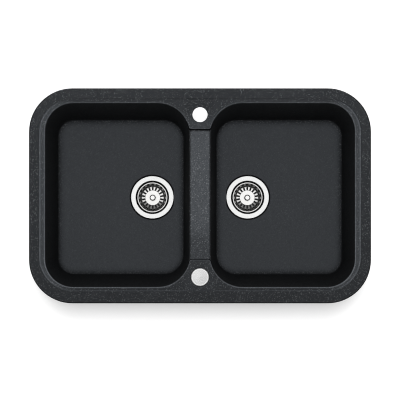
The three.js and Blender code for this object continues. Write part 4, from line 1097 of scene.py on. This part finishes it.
def makeGripTree():  # grip ribs round a nut
    tree, given = newRepeat("gripRibs", {"Count": "Int", "Radius": "Float", "Rib size": "Vector", "Height": "Float"})
    bar = addNode(tree, "GeometryNodeMeshCube", {"Size": given["Rib size"]})
    offset = addNode(tree, "ShaderNodeCombineXYZ", {"X": given["Radius"], "Z": given["Height"]})
    placed = addNode(tree, "GeometryNodeTransform",
                     {"Geometry": bar.outputs["Mesh"], "Translation": offset.outputs[0]})
    both = tree.nodes.new("GeometryNodeJoinGeometry")
    for geometry in (given["Geometry"], aroundAxis(tree, given["Count"], placed.outputs[0])):
        tree.links.new(geometry, both.inputs[0])
    return paintedOutput(tree, both.outputs[0], given["Material"])


def repeated(piece, tree, **values):
    step = piece.modifiers.new(tree.name, "NODES")
    step.node_group = tree
    sockets = {item.name: item.identifier for item in tree.interface.items_tree if item.in_out == "INPUT"}
    for label, value in values.items():
        step[sockets[label.replace("_", " ")]] = value
    return evaluated(piece)


sectorTree = makeSectorTree()
gripTree = makeGripTree()


def threadReach(low, high, depth, pitch):  # radius of a screw thread between two heights
    def reach(r, z, angle):
        if not low <= z <= high:
            return r
        ends = min((z - low) / pitch, (high - z) / pitch, 1.0)
        wave = abs(((z / pitch - angle / (2 * math.pi)) % 1.0) * 2 - 1)
        return r - depth * ends * wave
    return reach


def threadRows(r, low, high, pitch):
    count = max(int(abs(high - low) / pitch * 5), 2)
    return [(r, low + (high - low) * i / count) for i in range(count + 1)]


# Basket wastes. Heights are from the top of the steel flange.

basket = {"rim": 37, "mouth": 33.6, "height": 31, "sheet": 0.9, "foot": 29, "disc": 18.1, "rise": 1.5,
          "slots": 18, "slotWidth": 4.5, "slotInner": 18.4, "slotRise": 22, "slope": 0.8}
plug = {"seal": 24.5, "sealThick": 4, "sealLip": 3, "stem": 2.5, "collar": 5, "collarThick": 1.2,
        "knob": 7.3, "knobHeight": 10.5, "knobNeck": 4.6, "clipWire": 0.55, "clipGroove": 0.5,
        "clipPlay": 0.25, "clipGap": 40}
waste = {"gasket": 4, "wall": 3, "play": 5, "flange": 6, "straight": 33, "cone": 22, "outlet": 24,
         "outletLength": 32, "threadPitch": 2.309, "threadDepth": 1.3, "boss": 8, "bossLength": 22, "rib": 3,
         "ribs": 4, "insert": 4.6, "insertLength": 14, "screw": 3, "screwHead": 6.3, "screwHeadHeight": 6.5,
         "screwPast": 4, "portDrop": 18.7, "portReach": 78, "steps": 72}
pipes = {"radius": 11, "wall": 1.8, "socketWall": 3, "socketDepth": 18, "gap": 2, "nutWall": 4,
         "nutGrip": 11, "nutLip": 3, "seal": 3, "ribs": 28, "ribDepth": 0.9, "ribWidth": 1.5, "steps": 48}

cupFloor = -strainer["depth"]
hubFloor = cupFloor - strainer["hubDepth"]
sealBottom = cupFloor + fit
sealTop = sealBottom + plug["sealThick"]
collarBottom = sealTop + fit
discBottom = collarBottom + plug["collarThick"] + fit
basketBottom = discBottom - basket["rise"]
basketTop = basketBottom + basket["height"]
bodyTop = seatBottom - waste["gasket"] - 2 * fit
bodyInner = strainer["throat"] + strainer["sheet"] + waste["play"]
coneTop = bodyTop - waste["straight"]
coneBottom = coneTop - waste["cone"]
outletBottom = coneBottom - waste["outletLength"]
bossTop = hubFloor - strainer["sheet"] - 2
bossBottom = bossTop - waste["bossLength"]
portAxis = bodyTop - waste["portDrop"]
socketInner = pipes["radius"] + fit
socketOuter = socketInner + pipes["socketWall"]
pipeBore = pipes["radius"] - pipes["wall"]
nutOuter = socketOuter + pipes["nutWall"]
elbowReach = nutOuter + pipes["nutGrip"] + pipes["gap"]
elbowSocket = pipes["socketDepth"] / 2 + 2
knobBottom = discBottom + basket["sheet"] + fit
socketFloor = hubFloor + 2 * fit + 0.5
stemBottom = socketFloor + fit
steels = {}
for prefix, side in sides.items():
    centre = (side * drainX * mm, drainY * mm, drainZ * mm)
    steels[prefix] = {kind: makeSpunSteel(prefix + kind.capitalize() + "Steel", centre, steelLook[kind])
                      for kind in ("flange", "basket", "knob")}


def makeCup(prefix, at):
    throat, taper = strainer["throat"], strainer["taper"]
    path = softened([
        (strainer["flange"], -0.6), (strainer["flange"] - 0.6, 0, 0.3), (throat + 1.3, -0.1, 0.7),
        (throat + 0.4, -0.8, 0.6), (throat, -3.2, 1.5), (throat - taper, cupFloor + 2.4, 2.0),
        (throat - taper - 2.4, cupFloor, 2.0), (strainer["hub"], cupFloor, 1.2),
        (strainer["hub"] - strainer["hubTaper"], hubFloor, 1.2), (waste["screw"] + fit, hubFloor),
    ], closed=False)
    cup = turned(prefix + "StrainerCup", sheetOutline(path, -strainer["sheet"]), 96, at)
    cut(cup, *(cylinder(strainer["drainHole"], cupFloor - 3, cupFloor + 1.5, at + spot, 24)
               for spot in spotsRound(strainer["drainHoles"], strainer["drainRing"])))
    return dressed(cup, steels[prefix]["flange"], "root", [prefix + "_strainer_cup"])


def ringPiece(name, inner, outer, low, high, at, soft, steps=waste["steps"], tilt=None):
    return turned(name, softened([(inner, low, soft), (outer, low, soft), (outer, high, soft), (inner, high, soft)]),
                  steps, at, tilt)


def makeGaskets(prefix, at):
    low, inner = fit - recessDepth, floorHole + 1
    flangeRing = ringPiece(prefix + "FlangeGasket", inner, strainer["flange"] - 1, low, low + strainer["gasket"], at,
                           0.5)
    dressed(flangeRing, rubber, "root", [prefix + "_flange_gasket"])
    top = seatBottom - fit
    bodyRing = ringPiece(prefix + "BodyGasket", inner, bodyInner + waste["flange"], top - waste["gasket"], top, at,
                         1.2)
    dressed(bodyRing, rubber, "root", [prefix + "_body_gasket"])


def makeSpider(at, boss, ribs, keep):  # a boss held by ribs inside a wall
    radius, low, high, steps = boss
    count, width, reach, ribLow, ribHigh = ribs
    spider = cylinder(radius, low, high, at, steps)
    join(spider, *(box(0, reach, -width / 2, width / 2, ribLow, ribHigh, 2 * math.pi * (i + 0.5) / count, at)
                   for i in range(count)))
    return combined(spider, "INTERSECT", keep)


def portAngle(side):  # from a waste towards the overflow
    return math.atan2(overflowY - drainY, -side * drainX)


def makeWasteBody(prefix, side, at):
    wall, outlet, steps = bodyInner + waste["wall"], waste["outlet"], waste["steps"]
    flange, under = wall + waste["flange"], bodyTop - waste["wall"]
    threadLow, threadHigh = outletBottom + 1.2, coneBottom - 3
    outside = softened([(0, bodyTop), (flange, bodyTop, 0.6), (flange, under, 1.0), (wall, under - 1.5, 1.5),
                        (wall, coneTop, 6), (outlet, coneBottom, 3)], closed=False)
    outside += threadRows(outlet, threadHigh, threadLow, waste["threadPitch"])
    outside += [(outlet - 0.8, outletBottom + 0.4), (outlet - 1.4, outletBottom), (0, outletBottom)]
    body = turned(prefix + "WasteBody", outside, steps, at,
                  reach=threadReach(threadLow, threadHigh, waste["threadDepth"], waste["threadPitch"]))
    tilt, axis, reach = lyingTowards(portAngle(side)), at + Vector((0, 0, portAxis)), waste["portReach"]
    port = turned("port", softened([(0, bodyInner - 1), (socketOuter, bodyInner - 1), (socketOuter, reach, 0.8),
                                    (0, reach)]), pipes["steps"], axis, tilt)
    bore = outlet - waste["wall"] - 1
    keep = [(0, bodyTop), (bodyInner + 1, bodyTop), (bodyInner + 1, coneTop), (bore + 1, coneBottom),
            (bore + 1, outletBottom), (0, outletBottom)]
    spider = makeSpider(at, (waste["boss"], bossBottom, bossTop, 40),
                        (waste["ribs"], waste["rib"], bodyInner + 1.5, bossBottom + 2, bossTop - 2),
                        turned("keep", keep, steps, at))
    inside = [(0, bodyTop + 1), (bodyInner, bodyTop + 1), (bodyInner, coneTop + 1), (bore, coneBottom + 2),
              (bore, outletBottom - 1), (0, outletBottom - 1)]
    cut(join(body, port), turned("inside", inside, steps, at))
    join(body, spider)
    cut(body, cylinder(pipeBore, bodyInner - 6, reach + 1, axis, pipes["steps"], tilt),
        cylinder(socketInner, reach - pipes["socketDepth"], reach + 1, axis, pipes["steps"], tilt),
        cylinder(waste["insert"] + fit, bossBottom - 1, bossTop + 1, at, 32))
    return dressed(body, plastic, "root", [prefix + "_waste_body", prefix + "_waste_neck"], 32)


def makeWasteScrew(prefix, at):
    r, head, top = waste["screw"], waste["screwHead"], hubFloor + fit + waste["screwHeadHeight"]
    bore = plug["stem"] + 2 * plug["clipWire"] + 0.2
    tip = bossTop - waste["insertLength"] - waste["screwPast"]
    outline = [(0, tip), (r - 0.7, tip)] + threadRows(r, tip + 0.6, bossTop, 1.0)
    outline += softened([(r, bossTop + 1), (r, hubFloor + fit, 0.3), (head, hubFloor + fit, 0.6), (head, top, 0.8),
                         (bore, top, 0.4), (bore, socketFloor), (0, socketFloor)], closed=False)
    screw = turned(prefix + "WasteScrew", outline, 24, at, reach=threadReach(tip + 0.6, bossTop, 0.55, 1.0))
    dressed(screw, screwSteel, "root", [prefix + "_waste_screw"])
    insert = ringPiece(prefix + "ScrewInsert", r + fit, waste["insert"], bossTop - waste["insertLength"],
                       bossTop - fit, at, 0.3, 32)
    dressed(insert, brass, "root", [prefix + "_screw_insert"])


def slotHalf(r, height):  # half width of a slot at a radius, with a round inner end
    half = basket["slotWidth"] / 2
    if height > basket["slotRise"] or r < basket["slotInner"]:
        return None
    into = half - (r - basket["slotInner"])
    return half if into <= 0 else math.sqrt(max(half ** 2 - into ** 2, 0))


def makeBasket(prefix, at):
    low, sheet = basketBottom, basket["sheet"]
    inner, half = basket["slotInner"], basket["slotWidth"] / 2
    path = softened([
        (basket["rim"], basketTop - 1.4), (basket["rim"] - 0.6, basketTop, 0.5),
        (basket["mouth"] + 0.6, basketTop, 0.5), (basket["mouth"], basketTop - 1.2, 0.8),
        (basket["foot"], low + 3, 2.0), (basket["foot"] - 1.6, low + sheet, 1.2),
        (basket["disc"] + 0.7, low + sheet + basket["slope"], 0.3),
        (basket["disc"], low + sheet + basket["rise"], 0.5), (plug["stem"] + fit, low + sheet + basket["rise"]),
    ], closed=False)
    ends = [inner + half * (1 - math.cos(a)) for a in reversed(quarterSteps(rim["edgeSteps"]))]
    climb, rows = low + basket["slotRise"], []
    for (r0, z0), (r1, z1) in zip(path, path[1:]):
        rows.append((r0, z0))
        if abs(z1 - z0) < abs(r1 - r0) * 0.2:  # a nearly level stretch takes the slots' round ends
            rows += [(r, z0 + (z1 - z0) * (r0 - r) / (r0 - r1)) for r in ends if r1 < r < r0]
        if z0 > climb > z1:
            rows.append((r0 + (r1 - r0) * (z0 - climb) / (z0 - z1), climb))
    rows.append(path[-1])
    sector = math.pi / basket["slots"]
    points, faces, slotted = [], [], []
    for r, z in rows:
        gap = slotHalf(r, z - low - 0.001)
        slotted.append(gap is not None)
        width = half if gap is None else gap
        edge = sector - math.asin(min(width / max(r, half), 1)) if r > 10 else sector * 0.6
        for angle in (-sector, -edge, -edge / 2, 0, edge / 2, edge, sector):
            points.append((r * math.cos(angle), r * math.sin(angle), z))
    for i in range(len(rows) - 1):
        through = slotted[i] and slotted[i + 1]
        for k in range(6):
            if through and k in (0, 5):
                continue
            faces.append((i * 7 + k, i * 7 + k + 1, i * 7 + k + 8, i * 7 + k + 7))
    mesh = bpy.data.meshes.new(prefix + "Basket")
    mesh.from_pydata([Vector(p) * mm for p in points], [], faces)
    piece = makeObject(prefix + "Basket", mesh)
    steel = steels[prefix]["basket"]
    repeated(piece, sectorTree, Count=basket["slots"], Weld_distance=0.00002, Material=steel)
    facing = bmesh.new()
    facing.from_mesh(piece.data)
    bmesh.ops.recalc_face_normals(facing, faces=facing.faces)
    facing.faces.ensure_lookup_table()
    lowest = max(facing.faces, key=lambda face: face.calc_center_median().z - face.calc_center_median().xy.length)
    if lowest.normal.z < 0:
        bmesh.ops.reverse_faces(facing, faces=facing.faces)
    facing.to_mesh(piece.data)
    facing.free()
    wall = piece.modifiers.new("wall", "SOLIDIFY")
    wall.thickness = sheet * mm
    wall.offset = -1
    evaluated(piece)
    moved(piece, at, Matrix.Identity(4))
    return dressed(piece, steel, prefix + "_basket_set", [prefix + "_basket"], 50)


def makePlug(prefix, at):
    body = prefix + "_basket_set"
    stem, seal, lip = plug["stem"], plug["seal"], plug["seal"] - plug["sealLip"]
    middle = sealBottom + plug["sealThick"] / 2
    rubberRing = turned(prefix + "BasketSeal", softened([
        (stem + fit, middle), (lip - 1, middle, 0.6), (lip, sealBottom, 0.5), (seal, sealBottom, 0.5),
        (seal, sealTop - 1, 0.6), (seal - 1, sealTop, 0.6), (stem + fit, sealTop)]), waste["steps"], at)
    dressed(rubberRing, rubber, body, [prefix + "_basket_seal"])
    groove, z = stem - plug["clipGroove"], stemBottom + 1.6
    slot, collar, thick = plug["clipWire"] + plug["clipPlay"], plug["collar"], plug["collarThick"]
    low, top = middle - fit, knobBottom + plug["knobHeight"]
    outline = [(0, stemBottom), (stem - 0.4, stemBottom), (stem, z - slot), (groove, z - slot), (groove, z + slot),
               (stem, z + slot), (stem, low - thick), (collar - 0.5, low - thick, 0.3), (collar - 0.5, low, 0.3),
               (stem, low), (stem, collarBottom), (collar, collarBottom, 0.3), (collar, collarBottom + thick, 0.3),
               (stem, collarBottom + thick), (stem, top - 3), (0, top - 3)]
    stemPiece = turned(prefix + "BasketStem", softened(outline), 32, at)
    dressed(stemPiece, screwSteel, body, [prefix + "_basket_stem"])
    makeClip(prefix, at, z, body)
    neck, r = plug["knobNeck"], plug["knob"]
    knob = turned(prefix + "BasketKnob", softened([
        (0, top - 2.6), (stem + fit, top - 2.6), (stem + fit, knobBottom), (neck + 1.4, knobBottom, 0.5),
        (neck, knobBottom + 2, 1.0), (neck, top - 4, 1.0), (r, top - 3.0, 0.4), (r, top - 2.4, 0.4),
        (r - 2.2, top, 0.3), (0, top)]), 56, at)
    dressed(knob, steels[prefix]["knob"], body, [prefix + "_basket_knob"])


def makeClip(prefix, at, height, body):  # open ring of spring wire
    radius, wire = plug["stem"] - plug["clipGroove"] + plug["clipWire"] + plug["clipPlay"], plug["clipWire"]
    gap, turns, around = math.radians(plug["clipGap"]), 36, 10
    rings = []
    for i in range(turns + 1):
        angle = gap / 2 + (2 * math.pi - gap) * i / turns
        outwards = Vector((math.cos(angle), math.sin(angle), 0))
        rings.append([at + outwards * (radius + wire * math.cos(turn)) + Vector((0, 0, height + wire * math.sin(turn)))
                      for turn in (2 * math.pi * k / around for k in range(around))])
    dressed(lofted(prefix + "StemClip", rings), screwSteel, body, [prefix + "_stem_clip"])


def makeNut(name, at, tilt, node, closed=False):
    mouth = pipes["seal"] + 2 * fit
    base = nutOuter - pipes["ribDepth"]
    grip, lip = pipes["nutGrip"], pipes["nutLip"]
    inner = 0 if closed else socketInner
    outline = [(socketOuter + fit, -grip), (base, -grip, 0.6), (base, mouth, 0.8), (base - 1.5, mouth + lip, 0.8),
               (inner, mouth + lip, 0 if closed else 0.4), (inner, mouth), (socketOuter + fit, mouth)]
    nut = turned(name, softened(outline), pipes["steps"])
    sunk, length = 0.2, grip + mouth - 1.6
    repeated(nut, gripTree, Count=pipes["ribs"], Radius=(base - sunk) * mm, Height=(mouth - grip) / 2 * mm,
             Rib_size=((pipes["ribDepth"] + sunk) * 2 * mm, pipes["ribWidth"] * mm, length * mm), Material=plastic)
    moved(nut, at, tilt)
    return dressed(nut, plastic, "root", [node], 30)


def makeSeal(name, at, tilt, node, solid=False):
    seal = pipes["seal"]
    inner = 0 if solid else socketInner
    ring = turned(name, softened([(inner, fit), (socketOuter, fit, 0.4), (socketOuter - 1, fit + seal, 0.4),
                                  (inner, fit + seal)]), pipes["steps"], at, tilt)
    return dressed(ring, rubber, "root", [node])


def makePipe(name, at, tilt, length, node):
    tube = ringPiece(name, pipeBore, pipes["radius"], 0, length, at, 0.4, pipes["steps"], tilt)
    return dressed(tube, plastic, "root", [node])


def makeWaste(prefix, side):
    at = Vector((side * drainX, drainY, drainZ))
    makeCup(prefix, at)
    makeGaskets(prefix, at)
    makeWasteBody(prefix, side, at)
    makeWasteScrew(prefix, at)
    makeBasket(prefix, at)
    makePlug(prefix, at)
    angle = portAngle(side)
    outward = Vector((math.cos(angle), math.sin(angle), 0))
    tilt = lyingTowards(angle)
    back = tilt @ Matrix.Rotation(math.pi, 4, "X")
    mouth = at + outward * waste["portReach"] + Vector((0, 0, portAxis))
    if side > 0:
        makeNut("portCap", mouth, tilt, "port_cap", closed=True)
        makeSeal("portCapSeal", mouth, tilt, "port_cap_seal", solid=True)
        return
    makeNut("portNut", mouth, tilt, "port_nut")
    makeSeal("portSeal", mouth, tilt, "port_seal")
    run = math.hypot(drainX, overflowY - drainY) - waste["portReach"] - elbowReach
    start = mouth - outward * (pipes["socketDepth"] - fit)
    makePipe("crossPipe", start, tilt, run + pipes["socketDepth"] + elbowSocket - 2 * fit, "cross_pipe")
    makeNut("elbowSideNut", mouth + outward * run, back, "elbow_side_nut")
    makeSeal("elbowSideSeal", mouth + outward * run, back, "elbow_side_seal")


for prefix, side in sides.items():
    makeWaste(prefix, side)
print("sink: basket wastes")


# Overflow. Heights are from the underside of the deck.

cover = {"radius": 20.8, "thick": 2.4, "rise": 1.2, "bevel": 1, "nubs": 3, "nub": 1.8, "nubRing": 18,
         "threadPitch": 0.8, "threadDepth": 0.45}
funnel = {"gasket": 2, "flange": 25, "plate": 3, "straight": 9.5, "cone": 8, "neck": 10, "boss": 5,
          "bossLength": 14, "ribs": 3, "rib": 2.4, "stud": 2.5, "steps": 56}
overflowAt = Vector((0, overflowY, deckBottom))
funnelTop = -funnel["gasket"] - 2 * fit
funnelConeTop = funnelTop - funnel["straight"]
funnelConeBottom = funnelConeTop - funnel["cone"]
funnelSocketTop = funnelConeBottom - funnel["neck"]
funnelMouth = funnelSocketTop - pipes["socketDepth"]
funnelBore = holes["overflow"] + 1
coverSteel = makeSpunSteel("coverSteel", (0, overflowY * mm, 0), steelLook["cover"])


def makeCover():
    r, top = cover["radius"], rim["deck"] + cover["rise"]
    low, bevel = top - cover["thick"], cover["bevel"]
    disc = turned("overflowCover", softened([
        (0, low), (r - 0.4, low), (r, low + 0.4), (r, top - bevel, 0.4), (r - bevel, top - 0.2, 0.5),
        (r - 1.6 * bevel, top, 0.4), (0, top)]), 96, overflowAt)
    foot = rim["deck"] - holes["recessDepth"] + fit
    join(disc, *(cylinder(cover["nub"], foot, low + 0.5, overflowAt + spot, 24)
                 for spot in spotsRound(cover["nubs"], cover["nubRing"], quarter)))
    dressed(disc, coverSteel, "root", ["overflow_cover"])
    makeStud(funnelTop - funnel["plate"] - funnel["bossLength"] - 2, low - fit)
    ring = ringPiece("overflowGasket", holes["overflow"] + 1, funnel["flange"] - 0.5, funnelTop + fit, -fit,
                     overflowAt, 0.6)
    dressed(ring, rubber, "root", ["overflow_gasket"])


def makeStud(low, high):
    r, threadLow, threadHigh, pitch = funnel["stud"], low + 0.5, high - 0.4, cover["threadPitch"]
    outline = [(0, low), (r - 0.5, low), *threadRows(r, threadLow, threadHigh, pitch), (r - 0.4, high), (0, high)]
    stud = turned("overflowStud", outline, 20, overflowAt,
                  reach=threadReach(threadLow, threadHigh, cover["threadDepth"], pitch))
    dressed(stud, screwSteel, "root", ["overflow_stud"])


def makeFunnel():
    flange, wall, steps = funnel["flange"], funnelBore + waste["wall"], funnel["steps"]
    high = funnelTop - funnel["plate"]
    outside = softened([
        (0, funnelTop), (flange, funnelTop, 0.5), (flange, high, 0.8), (wall, high - 1, 0.8),
        (wall, funnelConeTop - 2, 3), (socketOuter, funnelConeBottom - 4, 3), (socketOuter, funnelMouth, 0.6),
        (0, funnelMouth)])
    inside = [(0, funnelTop + 1), (funnelBore, funnelTop + 1), (funnelBore, funnelConeTop),
              (pipeBore, funnelConeBottom), (pipeBore, funnelSocketTop), (socketInner, funnelSocketTop),
              (socketInner, funnelMouth - 1), (0, funnelMouth - 1)]
    keep = [(0, funnelTop), (funnelBore + 1, funnelTop), (funnelBore + 1, funnelConeTop),
            (pipeBore + 1, funnelConeBottom), (pipeBore + 1, funnelMouth), (0, funnelMouth)]
    spider = makeSpider(overflowAt, (funnel["boss"], high - funnel["bossLength"], high, 32),
                        (funnel["ribs"], funnel["rib"], funnelBore + 1, high - funnel["straight"] + 2, high),
                        turned("keep", keep, steps, overflowAt))
    body = cut(turned("overflowFunnel", outside, steps, overflowAt), turned("inside", inside, steps, overflowAt))
    join(body, spider)
    cut(body, cylinder(funnel["stud"] + fit, funnelMouth, funnelTop + 1, overflowAt, 24))
    dressed(body, plastic, "root", ["overflow_funnel"], 32)


def makeElbow(at, turn):
    def legs(radius, start, end):  # one upright, one towards the waste
        return [cylinder(radius, start, end, at, pipes["steps"], tilt) for tilt in (None, lyingTowards(turn))]

    def ball(radius):
        points = arcPoints(0, 0, radius, -90, 90, 18)
        return turned("ball", [(max(x, 0), y) for x, y in points], pipes["steps"], at)

    outside = join(ball(socketOuter), *legs(socketOuter, 0, elbowReach))
    channel = join(ball(pipeBore), *legs(pipeBore, 0, elbowReach + 1))
    cut(outside, channel, *legs(socketInner, elbowReach - elbowSocket, elbowReach + 1))
    outside.name = "overflowElbow"
    dressed(outside, plastic, "root", ["overflow_elbow"], 32)


def makeOverflow():
    makeCover()
    makeFunnel()
    upright, turnedOver = Matrix.Identity(4), Matrix.Rotation(math.pi, 4, "X")
    mouth = overflowAt + Vector((0, 0, funnelMouth))
    makeNut("funnelNut", mouth, turnedOver, "funnel_nut")
    makeSeal("funnelSeal", mouth, turnedOver, "funnel_seal")
    elbowZ = drainZ + portAxis - deckBottom
    low, high = elbowZ + elbowReach - elbowSocket + fit, funnelMouth + pipes["socketDepth"] - fit
    makePipe("downPipe", overflowAt + Vector((0, 0, low)), upright, high - low, "down_pipe")
    top = overflowAt + Vector((0, 0, elbowZ + elbowReach))
    makeNut("elbowTopNut", top, upright, "elbow_top_nut")
    makeSeal("elbowTopSeal", top, upright, "elbow_top_seal")
    makeElbow(overflowAt + Vector((0, 0, elbowZ)), math.atan2(drainY - overflowY, -drainX))


makeOverflow()
print("sink: overflow")


# Worktop clamps. The claw's arm points along +X; heights are from the top of its hub.

def makeClaw(name, at, turn):
    hub, reach, thick, arm, tooth = (clamps[size] for size in ("hub", "reach", "thick", "arm", "tooth"))
    profile = [(-hub, -thick), (reach - 3, -thick), (reach, 3 - thick), (reach, tooth), (reach - 4, tooth),
               (reach - 6.5, arm - thick), (hub + 3, arm - thick), (hub, 0), (-hub, 0)]
    claw = extruded(name + "Claw", profile, 1 - hub, hub - 1)
    rounding = claw.modifiers.new("rounding", "BEVEL")
    rounding.width = clamps["edge"] * mm
    rounding.segments = 3
    evaluated(claw)
    cut(claw, cylinder(clamps["screw"] + fit, -thick - 1, 1, steps=24))
    return moved(claw, at, turn)


def makeScrew(name, at, turn):
    top, end, pitch = -clamps["thick"] - fit, clamps["drop"] + clamps["engaged"], clamps["threadPitch"]
    head, r, low = clamps["head"], clamps["screw"], top - clamps["headHeight"]
    threadLow, threadHigh = top + 1.2, end - 0.8
    outline = softened([(0, low), (head - 1, low, 0.8), (head, low + 1, 0.8), (head, top, 0.3), (r, top),
                        (r, top + 1)], closed=False)
    outline += threadRows(r, threadLow, threadHigh, pitch) + [(r - 0.7, end), (0, end)]
    screw = turned(name + "Screw", outline, 20,
                   reach=threadReach(threadLow, threadHigh, clamps["threadDepth"], pitch))
    long, half = clamps["crossLength"] / 2, clamps["crossWidth"] / 2
    cut(screw, join(box(-long, long, -half, half, low - 1, low + 1.8),
                    box(-half, half, -long, long, low - 1, low + 1.8)))
    return moved(screw, at, turn)


def makeClamp(name, x, y, out):
    at = (x, y, deckBottom - clamps["bossLength"] - clamps["drop"])
    turn = Matrix.Rotation(math.radians(out - 90), 4, "Z")
    first, *rest = name.split("_")
    label = first + "".join(part.capitalize() for part in rest)
    dressed(makeClaw(label, at, turn), zinc, name + "_clamp_claw", [name + "_clamp_claw"], 45)
    dressed(makeScrew(label, at, turn), zinc, name + "_clamp_screw", [name + "_clamp_screw"], 40)


for name, (x, y, out) in clampSpots().items():
    makeClamp(name, x, y, out)
print("sink: worktop clamps")
